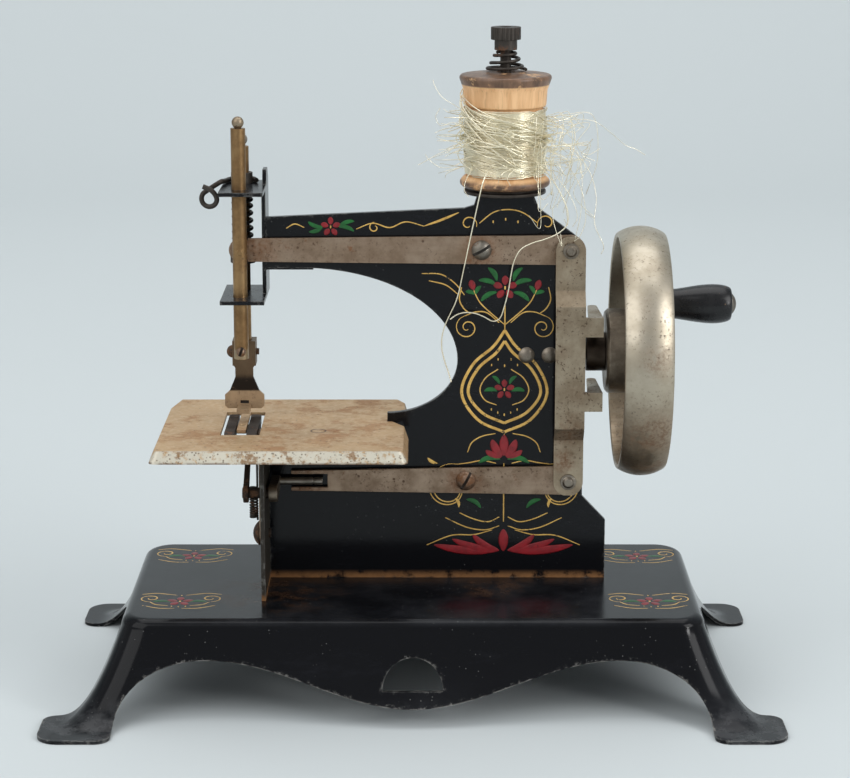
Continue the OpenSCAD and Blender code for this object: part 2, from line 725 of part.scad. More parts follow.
module bearing_rivets() {
    color(nickel) for (x = bearing_rivet_x) {
        bar_y(x, frame_y - sink, frame_back + bearing_rivet_deep, wheel_z, bearing_rivet_d);
        translate([x, frame_y, wheel_z]) rotate([90, 0, 0]) dome(bearing_rivet_head, 1.1);
    }
}

// Pivot screws with their washers and nuts
washer_d = 7;
nut_flats = 6.4;
nut_t = 2.4;

module pivot_screw(x, z, turn) {
    head_y = lever_y - side_gap;
    bar_y(x, head_y - sink, frame_back + nut_t + 0.6, z, pivot_d);
    translate([x, head_y, z]) rotate([90, 0, 0]) slotted(screw_head_d, 1.5, 0.8, turn);
}

module upper_pivot_screw() {
    color(worn_steel) pivot_screw(upper_pivot_x, upper_z, 30);
}

module lower_pivot_screw() {
    color(worn_steel) pivot_screw(lower_pivot_x, lower_z, 60);
}

module pivot_washers() {
    color(worn_steel) for (p = [[upper_pivot_x, upper_z], [lower_pivot_x, lower_z]]) difference() {
        bar_y(p.x, frame_y - lever_gap + side_gap, frame_y, p.y, washer_d);
        bar_y(p.x, frame_y - cut, frame_y + cut, p.y, pivot_d + 2 * seat_fit);
    }
}

module pivot_nuts() {
    color(iron) for (p = [[upper_pivot_x, upper_z], [lower_pivot_x, lower_z]]) difference() {
        translate([p.x, frame_back + nut_t, p.y]) rotate([90, 0, 0])
            cylinder(h = nut_t, d = nut_flats / cos(30), $fn = 6);
        bar_y(p.x, frame_back - cut, frame_back + nut_t + cut, p.y, pivot_d + 2 * seat_fit);
    }
}

// Spool pin and what stands on it
pin_head_t = 1.4;
pin_head_d = 6;
seat_lip = 1.5;

module spool_pin() {
    color(iron) {
        bar_z(spool_x, spool_y, neck_z - frame_t - sink, nut_top - 0.8, spool_pin_d);
        translate([spool_x, spool_y, neck_z - frame_t]) rotate([180, 0, 0]) dome(pin_head_d, pin_head_t);
    }
}

module spool_seat() {
    color(iron) translate([spool_x, spool_y, seat_z]) difference() {
        union() {
            cylinder(h = seat_t * 0.6, d = seat_d);
            cylinder(h = seat_t, d = seat_d - 2 * seat_lip);
        }
        translate([0, 0, -cut]) cylinder(h = seat_t + 2 * cut, d = spool_pin_d + 2 * seat_fit);
    }
}

cone_turns = 3.5;
cone_path = coil((cone_d - cone_wire) / 2, (spool_pin_d + cone_wire) / 2 + pass_gap, side_gap, cone_h - 0.05,
    cone_wire, cone_turns, 8);

module spool_spring() {
    echo("spool spring least gap", least_gap(cone_path, cone_wire, 5));
    color(iron) translate([spool_x, spool_y, spool_top]) tube(cone_path, cone_wire / 2, 6);
}

module thumb_nut() {
    knurls = 20;
    groove = 0.5;
    color(iron) translate([spool_x, spool_y, nut_z]) difference() {
        union() {
            cylinder(h = nut_collar + sink, d = nut_collar_d);
            translate([0, 0, nut_collar]) cylinder(h = nut_head, d = nut_d);
        }
        translate([0, 0, -cut]) cylinder(h = nut_top, d = spool_pin_d + 2 * run_fit);
        for (i = [0:knurls - 1]) rotate([0, 0, 360 * i / knurls]) translate([nut_d / 2, 0, nut_collar - cut])
            cylinder(h = nut_head + 2 * cut, d = groove, $fn = 4);
    }
}

module spool() {
    flange = spool_d / 2;
    barrel = barrel_d / 2;
    neck = barrel + 0.9;
    pack_top = thread_z - spool_z + thread_len + 0.4;
    color(spool_wood) translate([spool_x, spool_y, spool_z]) difference() {
        rotate_extrude() polygon([[0, 0], [flange - 1.2, 0], [flange - 0.3, 0.8], [flange - 0.3, 1.8],
            [flange - 1.6, 3.2], [barrel, 3.4], [barrel, pack_top], [neck, pack_top + 0.4],
            [neck + 0.3, spool_len - 4.8], [flange - 0.2, spool_len - 2.1], [flange, spool_len - 1.4],
            [flange - 0.4, spool_len - 0.7], [5, spool_len], [0, spool_len]]);
        translate([0, 0, -cut]) cylinder(h = spool_len + 2 * cut, d = spool_bore);
    }
}

module thread_core() {
    color(cream) translate([spool_x, spool_y, thread_z]) difference() {
        cylinder(h = thread_len, r = core_r);
        translate([0, 0, -cut]) cylinder(h = thread_len + 2 * cut, r = barrel_d / 2 + seat_fit);
    }
}

// Outer layer of thread, whose ends run straight out of the core for one thread diameter
thread_turn = helix(wind_r, wind_r, thread_d, thread_len - thread_d, thread_loops, 24);
thread_foot = core_r + seat_fit;
thread_path = concat([[thread_foot, 0, thread_d]], thread_turn, [[thread_foot, 0, thread_len - thread_d]]);

module thread_winding() {
    echo("thread winding least gap", least_gap(thread_turn, thread_d, 12));
    color(cream) translate([spool_x, spool_y, thread_z]) tube(thread_path, thread_d / 2, 6);
}

// Loose ends of thread, as routes of points from the top of the neck
tail_d = 0.36;
left_route = [
    [20.2, -4, 7.4], [19.4, -5.4, 6], [18.6, -6.2, 3.6], [18, -6.2, 1], [17.4, -5.6, -2],
    [16.6, -4.6, -6], [15.8, -3.8, -10], [15, -3.2, -14], [14.2, -2.8, -18], [13.4, -2.4, -22],
    [12.6, -1.8, -26], [11.6, -1, -29.4], [10.2, 0, -32.6], [8.8, 0.8, -36], [8, 1.4, -39.4],
    [8, 1.8, -43], [8.8, 2, -46.4], [9.8, 2, -49.4], [10.6, 1.8, -52.2]];
front_route = [
    [34.4, -1.4, 8.6], [36.4, -2.8, 7], [38.6, -3.8, 4], [40.6, -4.4, 0.4], [42, -4.6, -3.4],
    [41.8, -4.6, -7], [39.4, -4.4, -9.4], [36, -4, -11], [32.4, -3.6, -12.2], [29.4, -3.2, -14],
    [27.6, -2.8, -17.4], [26.8, -2.4, -21.4], [26.2, -1.8, -25.6], [25.2, -1, -30], [24, -0.4, -33.6],
    [22, 0, -34.6], [19.6, 0.2, -33.4], [17, 0.2, -32.4], [14.2, 0.2, -32.2], [12, 0, -32.8],
    [10.2, -0.4, -34]];

module thread_tail_left() {
    color(cream) translate([0, 0, neck_z]) tube(left_route, tail_d / 2, 8);
}

module thread_tail_front() {
    color(cream) translate([0, 0, neck_z]) tube(front_route, tail_d / 2, 8);
}

// Levers, link and rivets
rivet_head_d = 4.4;
rivet_z_low = lower_z;
lever_tip = 3.2;
pin_slot = 1.4;

// Straight tapered bar from (x0, z) of height h0 to (x1, z) of height h1, with a round right end
module lever_outline(x0, h0, x1, h1, z) {
    polygon([[x0, z - h0 / 2], [x1, z - h1 / 2], [x1, z + h1 / 2], [x0, z + h0 / 2]]);
    translate([x1, z]) circle(d = h1);
}

module upper_lever() {
    color(worn_steel) difference() {
        upright(lever_y, lever_t) {
            lever_outline(needle_x + 2, lever_w_left, link_x - 0.2, lever_w_right, upper_z);
            translate([needle_x, upper_z]) circle(r = lever_tip);
        }
        bar_y(upper_pivot_x, lever_y - cut, lever_y + lever_t + cut, upper_z, pivot_d + 2 * run_fit);
        bar_y(link_x, lever_y - cut, lever_y + lever_t + cut, upper_z, rivet_d + 2 * seat_fit);
        upright(lever_y - cut, lever_t + 2 * cut) for (i = [-1, 1])
            translate([needle_x + i * pin_slot / 2, upper_z]) circle(d = drive_pin_d + 2 * side_gap);
        upright(lever_y - cut, lever_t + 2 * cut) translate([needle_x, upper_z])
            square([pin_slot, drive_pin_d + 2 * side_gap], center = true);
    }
}

// Rivet fixed in a lever, with its head in front of the link
module link_rivet(z) {
    bar_y(link_x, link_y - side_gap - sink, lever_y + lever_t, z, rivet_d);
    translate([link_x, link_y - side_gap, z]) rotate([90, 0, 0]) {
        cylinder(h = 0.4, d = rivet_head_d);
        translate([0, 0, 0.4 - sink]) cylinder(h = 0.7 + sink, d1 = rivet_head_d - 0.6, d2 = rivet_head_d * 0.5);
    }
}

module upper_link_rivet() {
    color(nickel) link_rivet(upper_z);
}

module lower_link_rivet() {
    color(nickel) link_rivet(rivet_z_low);
}

// Fork of the link round the eccentric
fork_up = 10.6;
fork_down = 9.2;
ear_h = 5.4;
ear_gap = 0.7;
ear_right = hub_x - 1.2;
ear_left = link_right + ear_gap;
tongue_reach = 4.6;
tongue_tip_r = 1.3;
link_end = 3.9;
joggle_up = 3;
joggle_run = 4;
joggle_low = 5;

module link_ear(z) {
    mid = (ear_left + ear_right) / 2;
    translate([link_right - cut, link_y - link_off, z - ear_h]) cube([ear_right - link_right + cut, lever_t, ear_h]);
    translate([0, 0, z - lever_t]) linear_extrude(lever_t) {
        polygon([[ear_left, link_y - link_off], [ear_right, link_y - link_off],
            [mid + tongue_tip_r, wheel_y + tongue_reach], [mid - tongue_tip_r, wheel_y + tongue_reach]]);
        translate([mid, wheel_y + tongue_reach]) circle(r = tongue_tip_r);
    }
}

module connecting_link() {
    top = upper_z + link_end;
    low = rivet_z_low - link_end;
    y1 = link_y - link_off;
    z1 = wheel_z + fork_up + lever_t + joggle_up;
    z0 = wheel_z - fork_down - ear_h - joggle_low;
    front = [[link_y, top], [link_y, z1 + joggle_run], [y1, z1], [y1, z0], [link_y, z0 - joggle_run], [link_y, low]];
    back = [for (i = [len(front) - 1:-1:0]) front[i] + [lever_t, 0]];
    color(nickel) difference() {
        union() {
            intersection() {
                crosswise(link_left, link_w) polygon(concat(front, back));
                upright(y1 - cut, link_off + lever_t + 2 * cut) {
                    translate([link_left, rivet_z_low]) square([link_w, upper_z - rivet_z_low]);
                    for (z = [upper_z, rivet_z_low]) translate([link_x, z]) circle(d = link_w);
                }
            }
            link_ear(wheel_z + fork_up + lever_t);
            link_ear(wheel_z - fork_down);
        }
        bar_y(link_x, y1 - cut, lever_y, upper_z, rivet_d + 2 * run_fit);
        bar_y(link_x, y1 - cut, lever_y, rivet_z_low, rivet_d + 2 * side_gap);
    }
}

module lower_lever() {
    color(worn_steel) difference() {
        upright(lever_y, lever_t) lever_outline(fork_x, fork_w, link_x - 0.2, lever_w_right, lower_z);
        translate([fork_x - cut, lever_y - cut, lower_z - fork_slot / 2])
            cube([fork_len + cut, lever_t + 2 * cut, fork_slot]);
        bar_y(lower_pivot_x, lever_y - cut, lever_y + lever_t + cut, lower_z, pivot_d + 2 * run_fit);
        bar_y(link_x, lever_y - cut, lever_y + lever_t + cut, lower_z, rivet_d + 2 * seat_fit);
    }
}

// Needle bar
needle_low_z = bed_z + needle_share * (lower_tab_z - bed_z);
needle_top_z = upper_z + needle_top;
clamp_screw_d = 1.5;
clamp_screw_z = needle_low_z + 2.2;
stub_d = 1.8;
stub_l = 3;

module needle_bar() {
    color(brassy) difference() {
        bar_z(needle_x, needle_y, needle_low_z, needle_top_z, bar_d);
        bar_z(needle_x, needle_y, needle_low_z - cut, needle_low_z + socket_l, socket_d);
        bar_z(needle_x, needle_y, needle_top_z - stub_l, needle_top_z + cut, stub_d + 2 * seat_fit);
        bar_y(needle_x, needle_y - bar_d, needle_y, clamp_screw_z, clamp_screw_d + 2 * seat_fit);
        bar_y(needle_x, needle_y - bar_d, needle_y + bar_d, upper_z, drive_pin_d + 2 * seat_fit);
    }
}

module needle_bar_ball() {
    color(nickel) {
        bar_z(needle_x, needle_y, needle_top_z - stub_l, needle_top_z + ball_d / 2, stub_d);
        translate([needle_x, needle_y, needle_top_z + ball_d / 2 - 0.1]) sphere(d = ball_d);
    }
}

module needle_drive_pin() {
    color(iron) {
        bar_y(needle_x, needle_y - bar_d / 2 - 0.1, lever_y + lever_t, upper_z, drive_pin_d);
    }
}

module needle_clamp_screw() {
    color(worn_steel) {
        bar_y(needle_x, needle_y - bar_d / 2 - sink, needle_y - socket_d / 2 - 0.1, clamp_screw_z, clamp_screw_d);
        translate([needle_x, needle_y - bar_d / 2, clamp_screw_z]) rotate([90, 0, 0]) slotted(2.7, 1, 0.5, 70);
    }
}

// Presser bar and foot
presser_top_z = upper_z + presser_top;
sole_z = bed_z + foot_rise;
foot_share = 0.3631;
block_low = sole_z + foot_share * (lower_tab_z - sole_z);
block_back = presser_y + bar_d / 2 + 1.1;
block_front = presser_y - bar_d / 2 - foot_t;
foot_screw_d = 1.8;
foot_screw_head = 3.6;
foot_screw_z = block_low + block_h / 2;
sole_front = needle_y + 2.2;
collar_z = upper_z - 5;
collar_h = 2.4;
collar_d = 7;
bush_d = 6;
bush_h = 3;
eye_r = 1.3;

module presser_bar() {
    color(brassy) difference() {
        bar_z(needle_x, presser_y, block_low, presser_top_z, bar_d);
        bar_x(needle_x - bar_d, needle_x + bar_d, presser_y, foot_screw_z, foot_screw_d + 2 * seat_fit);
        bar_z(needle_x, presser_y, presser_top_z - stub_l, presser_top_z + cut, stub_d / 2 + 2 * seat_fit);
    }
}

module presser_bar_eye() {
    color(iron) {
        bar_z(needle_x, presser_y, presser_top_z - stub_l, presser_top_z + 0.4, stub_d / 2);
        translate([needle_x, presser_y, presser_top_z + eye_r + 0.6]) rotate([90, 0, 0])
            rotate_extrude() translate([eye_r, 0]) circle(d = 0.8);
    }
}

module presser_guide_bush() {
    color(iron) difference() {
        bar_z(needle_x, presser_y, upper_tab_z, upper_tab_z + bush_h, bush_d);
        bar_z(needle_x, presser_y, upper_tab_z - cut, upper_tab_z + bush_h + cut, bar_d + 2 * run_fit);
    }
}

presser_path = coil((spring_d - spring_wire) / 2, (spring_d - spring_wire) / 2, collar_z + collar_h + 0.05,
    upper_tab_z - bracket_t - side_gap, spring_wire, spring_turns, 8);

module presser_spring() {
    echo("presser spring least gap", least_gap(presser_path, spring_wire, 5));
    color(iron) translate([needle_x, presser_y, 0]) tube(presser_path, spring_wire / 2, 6);
}

module spring_collar() {
    color(iron) difference() {
        bar_z(needle_x, presser_y, collar_z, collar_z + collar_h, collar_d);
        bar_z(needle_x, presser_y, collar_z - cut, collar_z + collar_h + cut, bar_d + 2 * seat_fit);
    }
}

module presser_foot() {
    neck_half = 2.5;
    sole_half = foot_w / 2;
    toe_half = sole_half - 1.4;
    finger_half = 1.8;
    toe_z = sole_z + 0.42 * (block_low - sole_z);
    waist_z = sole_z + 0.74 * (block_low - sole_z);
    color(brassy) difference() {
        union() {
            translate([needle_x - block_w / 2, block_front, block_low])
                cube([block_w, block_back - block_front, block_h]);
            upright(block_front, foot_t) translate([needle_x, 0]) polygon([[-block_w / 2, block_low + 0.5],
                [-neck_half, block_low - 0.6], [-neck_half, waist_z], [-toe_half, toe_z], [-sole_half, toe_z - 1.3],
                [-sole_half, sole_z + 0.8], [0.8 - sole_half, sole_z], [sole_half - 0.8, sole_z],
                [sole_half, sole_z + 0.8], [sole_half, toe_z - 1.3], [toe_half, toe_z], [neck_half, waist_z],
                [neck_half, block_low - 0.6], [block_w / 2, block_low + 0.5]]);
            translate([needle_x - finger_half, sole_front, sole_z])
                cube([2 * finger_half, block_front + foot_t - sole_front, foot_t]);
        }
        bar_z(needle_x, presser_y, block_low - cut, block_low + block_h + cut, bar_d + 2 * seat_fit);
        bar_x(needle_x - block_w, needle_x + block_w, presser_y, foot_screw_z, foot_screw_d + 2 * seat_fit);
        translate([needle_x - 1.2, block_front - cut, sole_z + foot_t + 0.3]) cube([2.4, foot_t / 2 + cut, 0.9]);
    }
}

module presser_foot_screw() {
    color(iron) {
        bar_x(needle_x - block_w / 2 - sink, needle_x + block_w / 2 + 0.8, presser_y, foot_screw_z, foot_screw_d);
        translate([needle_x - block_w / 2, presser_y, foot_screw_z]) rotate([0, -90, 0])
            slotted(foot_screw_head, 1.8, 0.6, 0);
    }
}

// Thread guide, bent from one wire: a half turn round the bush, an arm and a pigtail
guide_z = upper_tab_z + guide_wire / 2 + 0.02;
guide_r = bush_d / 2 + pass_gap + guide_wire / 2;
pig_r = 2.15;
pig_x = tab_left - 3.2;
pig_y = 0.6;
pig_z = upper_tab_z - 3.2;
guide_route = concat(
    [for (a = [0:20:180]) [needle_x + guide_r * cos(a), presser_y + guide_r * sin(a), guide_z]],
    [[needle_x - guide_r - 0.8, presser_y - 2.6, guide_z + 0.1], [tab_left - 0.2, presser_y - 5, guide_z + 0.3]],
    [for (a = [110:20:390]) [pig_x + pig_r * cos(a), pig_y + 2.4 * (390 - a) / 280, pig_z + pig_r * sin(a)]],
    [[pig_x + 0.6, pig_y - 0.2, pig_z + 2.6], [pig_x - 1.6, pig_y - 0.2, pig_z + 3.6]]);

module thread_guide() {
    color(iron) tube(guide_route, guide_wire / 2, 8);
}

// Handwheel
web_at = 9;
web_t = 1.8;
rim_in = 3.3;
rim_rise = 2.1;
boss_r = 14.5;
spoke_share = 0.42;
shaft_left = 24.6;
collar_w = 3;
shaft_head = 2;
web_left = wheel_x + web_at;
web_right = web_left + web_t;

// Turns a shape made about Z so that its axis runs along X, at the wheel's axis
module on_wheel(x) {
    translate([x, wheel_y, wheel_z]) rotate([0, 90, 0]) children();
}

module handwheel() {
    r = wheel_d / 2;
    crown = (wheel_w * wheel_w / 4 + rim_rise * rim_rise) / (2 * rim_rise);
    half = asin(wheel_w / 2 / crown);
    window = 360 / spokes * (1 - spoke_share);
    color(nickel) on_wheel(wheel_x) difference() {
        rotate_extrude($fn = 96) polygon(concat(arc([r - crown, wheel_w / 2], crown, -half, half, 12),
            [[r - rim_in - 0.2, wheel_w - 0.2], [r - rim_in - 0.8, web_at + web_t], [0, web_at + web_t],
            [0, web_at], [r - rim_in - 1.2, web_at], [r - rim_in - 0.4, web_at - 1.2], [r - rim_in + 0.2, 0.2]]));
        translate([0, 0, web_at - cut]) cylinder(h = web_t + 2 * cut, d = shaft_d + 2 * seat_fit);
        rotate([0, 0, 90 + crank_deg]) translate([crank_r, 0, web_at - cut])
            cylinder(h = web_t + 2 * cut, d = axle_d + 2 * seat_fit);
        for (i = [0:spokes - 1]) rotate([0, 0, 90 + crank_deg + (i + 0.5) * 360 / spokes - window / 2])
            translate([0, 0, web_at - cut]) rotate_extrude(angle = window)
            translate([boss_r, 0]) square([r - rim_in - 3.4 - boss_r, web_t + 2 * cut]);
    }
}

module wheel_hub() {
    color(nickel) on_wheel(hub_x) difference() {
        rotate_extrude() polygon([[0, 0], [hub_d / 2 - 0.8, 0], [hub_d / 2, 0.8], [hub_d / 2, web_left - hub_x],
            [0, web_left - hub_x]]);
        translate([0, 0, -cut]) cylinder(h = web_left - hub_x + 2 * cut, d = shaft_d + 2 * seat_fit);
    }
}

module drive_eccentric() {
    left = link_right + ear_gap;
    color(iron) on_wheel(left) difference() {
        translate([0, -ecc_throw, 0]) cylinder(h = hub_x - left, d = ecc_d);
        translate([0, 0, -cut]) cylinder(h = hub_x - left + 2 * cut, d = shaft_d + 2 * seat_fit);
    }
}

module wheel_shaft() {
    color(worn_steel) {
        on_wheel(shaft_left) cylinder(h = web_right + sink - shaft_left, d = shaft_d);
        on_wheel(web_right) dome(shaft_d + 4, shaft_head);
    }
}

module shaft_collar() {
    color(iron) on_wheel(bearing_left - side_gap - collar_w) difference() {
        cylinder(h = collar_w, d = shaft_d + 3.4);
        translate([0, 0, -cut]) cylinder(h = collar_w + 2 * cut, d = shaft_d + 2 * seat_fit);
    }
}

// Crank handle
axle_y = wheel_y + crank_r * cos(crank_deg);
axle_z = wheel_z + crank_r * sin(crank_deg);
shoulder_t = 2.8;
grip_x = web_right + shoulder_t + side_gap;
cap_t = 1.4;
cap_d = 6.2;

module on_crank(x) {
    translate([x, axle_y, axle_z]) rotate([0, 90, 0]) children();
}

module handle_axle() {
    color(nickel) {
        on_crank(web_left) cylinder(h = grip_x + grip_len + side_gap + sink - web_left, d = axle_d);
        on_crank(web_right) cylinder(h = shoulder_t, d = axle_d + 2.6);
        on_crank(grip_x + grip_len + side_gap) dome(cap_d, cap_t);
    }
}

module handle_grip() {
    belly = grip_len * 0.75;
    neck_r = grip_neck_d / 2;
    rise = grip_d / 2 - neck_r;
    end_r = grip_d * 0.37;
    color(black_wood) on_crank(grip_x) difference() {
        rotate_extrude() polygon(concat([[0, 0], [neck_r - 0.5, 0], [neck_r, 0.5]],
            [for (i = [1:10]) [neck_r + rise * (1 - cos(180 * i / 10)) / 2, 0.5 + (belly - 0.5) * i / 10]],
            [for (i = [1:8]) [end_r + (grip_d / 2 - end_r) * cos(90 * i / 8), belly + (grip_len - belly) * sin(90 * i / 8)]],
            [[0, grip_len]]));
        translate([0, 0, -cut]) cylinder(h = grip_len + 2 * cut, d = axle_d + 2 * run_fit);
    }
}

// Rocker, crank pin and looper
crank_pin_y = lever_y;
crank_t = 2.4;
crank_x = -37.2;
crank_boss = 5;
crank_tip = 3.1;
pin_end_x = fork_x + fork_len - 1.4;
pin_collar = 2.8;
looper_t = 1.4;
looper_x = needle_x + 0.7;
rocker_left = looper_x - 0.3;

module rocker_shaft() {
    color(worn_steel) bar_x(rocker_left, crank_x, -rocker_front, rocker_z, rocker_d);
}

module rocker_crank() {
    color(iron) difference() {
        crosswise(crank_x - crank_t, crank_t) {
            translate([-rocker_front, rocker_z]) circle(d = crank_boss);
            translate([crank_pin_y, rocker_z]) circle(d = crank_tip);
            translate([-rocker_front, rocker_z - 1.7]) square([rocker_front + crank_pin_y, 3.4]);
        }
        bar_x(crank_x - crank_t - cut, crank_x + cut, -rocker_front, rocker_z, rocker_d + 2 * seat_fit);
        bar_x(crank_x - crank_t - cut, crank_x + cut, crank_pin_y, rocker_z, crank_pin_d + 2 * seat_fit);
    }
}

module crank_pin() {
    color(worn_steel) difference() {
        bar_x(crank_x - crank_t, pin_end_x, crank_pin_y, rocker_z, crank_pin_d);
        translate([pin_end_x - pin_collar, crank_pin_y, rocker_z]) rotate([0, 90, 0]) rotate_extrude()
            translate([crank_pin_d / 2 - 0.2, 0]) square([1, 0.5]);
    }
}

module looper() {
    hub = 5.4;
    color(worn_steel) difference() {
        crosswise(looper_x, looper_t) translate([-rocker_front, rocker_z]) {
            circle(d = hub);
            polygon([[-1.4, 1.6], [1.8, -1.2], [6.4, 3.4], [11.2, 7.4], [11.6, 8.6], [9.6, 8.2], [5, 5.8]]);
        }
        bar_x(looper_x - cut, looper_x + looper_t + cut, -rocker_front, rocker_z, rocker_d + 2 * seat_fit);
    }
}

// Feed lever and feed dog
feed_screw_d = 2.6;
feed_head_d = 7;
feed_bar_mid = tongue_w / 2 + 0.4 + feed_bar_w / 2;
feed_right = needle_x + feed_bar_mid + feed_bar_w / 2;
feed_bar_top = bed_z + 0.2;
feed_bar_low = bed_top - 1.6;
feed_lever_w = 6;
tooth_h = 0.6;
feed_bar_front = feed_hole_front + 1.7;
cross_y = 3;
cross_w = 5;
cross_t = 1.2;

module feed_lever() {
    color(iron) difference() {
        crosswise(feed_right, feed_t) {
            translate([-feed_front, feed_z]) circle(d = feed_lever_w + 1);
            translate([-feed_front - feed_lever_w / 2, feed_z]) square([feed_lever_w, feed_bar_low + 1 - feed_z]);
        }
        bar_x(feed_right - cut, feed_right + feed_t + cut, -feed_front, feed_z, feed_screw_d + 2 * run_fit);
    }
}

// Side view of one toothed feed bar
module feed_bar_outline() {
    pitch = feed_bar_l / feed_teeth;
    teeth = [for (i = [0:feed_teeth - 1]) each [[feed_bar_front + i * pitch, feed_bar_top - tooth_h],
        [feed_bar_front + (i + 0.7) * pitch, feed_bar_top]]];
    polygon(concat(teeth, [[feed_bar_front + feed_bar_l, feed_bar_top - tooth_h],
        [feed_bar_front + feed_bar_l, feed_bar_low], [feed_bar_front, feed_bar_low]]));
}

module feed_dog() {
    color(worn_steel) {
        for (s = [-1, 1]) crosswise(needle_x + s * feed_bar_mid - feed_bar_w / 2, feed_bar_w) feed_bar_outline();
        translate([needle_x - feed_bar_mid - feed_bar_w / 2, cross_y, feed_bar_low - cross_t])
            cube([2 * feed_bar_mid + feed_bar_w, cross_w, cross_t + sink]);
    }
}

module feed_pivot_screw() {
    color(worn_steel) {
        bar_x(feed_right - side_gap - sink, end_x + end_t + 0.6, -feed_front, feed_z, feed_screw_d);
        translate([feed_right - side_gap, -feed_front, feed_z]) rotate([0, -90, 0])
            slotted(feed_head_d, 1.8, 0.9, 20);
    }
}

// Feed spring, hung under the right feed bar and standing over the pivot screw's head
feed_coil_d = 2.6;
feed_spring_x = feed_right - pass_gap - feed_coil_d / 2;
feed_coil_low = feed_z + feed_head_d / 2 + 0.9;
feed_coil_high = feed_coil_low + 9;
feed_coil = helix((feed_coil_d - feed_wire) / 2, (feed_coil_d - feed_wire) / 2, feed_coil_low, feed_coil_high,
    feed_turns, 8);
feed_path = concat([[(feed_coil_d - feed_wire) / 2, 0, feed_z + feed_head_d / 2 + pass_gap]], feed_coil,
    [[(feed_coil_d - feed_wire) / 2, 0, feed_coil_high + 1], [(feed_coil_d - feed_wire) / 2, 0, feed_bar_low - 0.05]]);

module feed_spring() {
    echo("feed spring least gap", least_gap(feed_path, feed_wire, 5));
    color(iron) translate([feed_spring_x, -feed_front, 0]) tube(feed_path, feed_wire / 2, 6);
}

base_shell();
frame_plate();
end_plate();
cloth_plate();
cloth_plate_rivet();
face_bracket();
face_bracket_rivets();
shaft_bearing();
bearing_rivets();
upper_pivot_screw();
lower_pivot_screw();
pivot_washers();
pivot_nuts();
spool_pin();
spool_seat();
spool_spring();
thumb_nut();
spool();
thread_core();
thread_winding();
thread_tail_left();
thread_tail_front();
upper_lever();
upper_link_rivet();
connecting_link();
lower_lever();
lower_link_rivet();
needle_bar();
needle_bar_ball();
needle_drive_pin();
needle_clamp_screw();
presser_bar();
presser_bar_eye();
presser_guide_bush();
presser_spring();
spring_collar();
presser_foot();
presser_foot_screw();
thread_guide();
handwheel();
wheel_hub();
drive_eccentric();
wheel_shaft();
shaft_collar();
handle_axle();
handle_grip();
rocker_shaft();
rocker_crank();
crank_pin();
looper();
feed_lever();
feed_dog();
feed_pivot_screw();
feed_spring();
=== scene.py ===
"""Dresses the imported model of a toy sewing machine: finishes, worn edges, thread and painted ornament."""
import json
import logging
import math
import random
from dataclasses import dataclass, field
from enum import Enum
from functools import reduce
from typing import Sequence, Union

import bmesh
import bpy
from mathutils import Matrix, Vector
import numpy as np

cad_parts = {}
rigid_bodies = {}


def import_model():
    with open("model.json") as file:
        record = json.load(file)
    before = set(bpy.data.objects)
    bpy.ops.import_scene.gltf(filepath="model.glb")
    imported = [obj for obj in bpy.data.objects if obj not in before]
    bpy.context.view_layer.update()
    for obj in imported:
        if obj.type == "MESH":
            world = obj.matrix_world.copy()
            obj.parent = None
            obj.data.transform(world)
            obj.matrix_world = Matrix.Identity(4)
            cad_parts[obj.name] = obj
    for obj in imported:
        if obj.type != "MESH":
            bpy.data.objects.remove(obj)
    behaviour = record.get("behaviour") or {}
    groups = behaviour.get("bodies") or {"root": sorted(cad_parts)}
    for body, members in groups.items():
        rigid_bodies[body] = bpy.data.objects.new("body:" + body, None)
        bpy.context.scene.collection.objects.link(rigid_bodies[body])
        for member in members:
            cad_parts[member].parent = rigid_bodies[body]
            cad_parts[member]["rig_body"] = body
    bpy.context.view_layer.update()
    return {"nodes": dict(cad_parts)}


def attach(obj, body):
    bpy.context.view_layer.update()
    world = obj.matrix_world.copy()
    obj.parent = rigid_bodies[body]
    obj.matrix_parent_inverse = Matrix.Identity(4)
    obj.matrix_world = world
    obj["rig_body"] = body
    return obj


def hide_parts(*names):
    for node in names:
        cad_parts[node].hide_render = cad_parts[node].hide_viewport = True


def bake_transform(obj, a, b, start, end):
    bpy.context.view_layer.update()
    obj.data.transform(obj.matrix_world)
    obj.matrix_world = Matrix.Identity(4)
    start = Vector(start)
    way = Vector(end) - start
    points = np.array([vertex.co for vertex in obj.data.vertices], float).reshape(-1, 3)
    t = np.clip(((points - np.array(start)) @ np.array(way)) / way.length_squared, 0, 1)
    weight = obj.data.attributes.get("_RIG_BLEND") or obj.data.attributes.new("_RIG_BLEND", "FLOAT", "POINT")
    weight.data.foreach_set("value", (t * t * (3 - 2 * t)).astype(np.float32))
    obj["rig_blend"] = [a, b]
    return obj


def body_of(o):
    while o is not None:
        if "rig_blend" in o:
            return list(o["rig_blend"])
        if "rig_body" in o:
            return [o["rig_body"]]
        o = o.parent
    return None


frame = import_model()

MM = 0.001
Y_AXIS, Z_AXIS = 1, 2
Flat = tuple[float, float]
Point = tuple[float, float, float]
Colour = tuple[float, float, float]
Socket = bpy.types.NodeSocket
Node = bpy.types.Node
Thing = bpy.types.Object
Mesh = bmesh.types.BMesh
Vert = bmesh.types.BMVert
Edge = bmesh.types.BMEdge
Level = Union[float, Socket]
Tint = Union[Colour, Socket]
log = logging.getLogger("toy_sewing_machine")


class Slot(Enum):
    """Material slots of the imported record."""

    ENAMEL = "black_enamel"
    NICKEL = "nickel"
    STEEL = "worn_steel"
    BRASSY = "brassy"
    IRON = "iron"
    TIN = "tin_plate"
    WOOD = "spool_wood"
    BLACK_WOOD = "black_wood"
    THREAD = "thread"


class Body(Enum):
    """Moving bodies that new pieces ride on."""

    MACHINE = "machine"
    REEL = "reel"
    PRESSER = "presser"


# ---------------------------------------------------------------- finishes


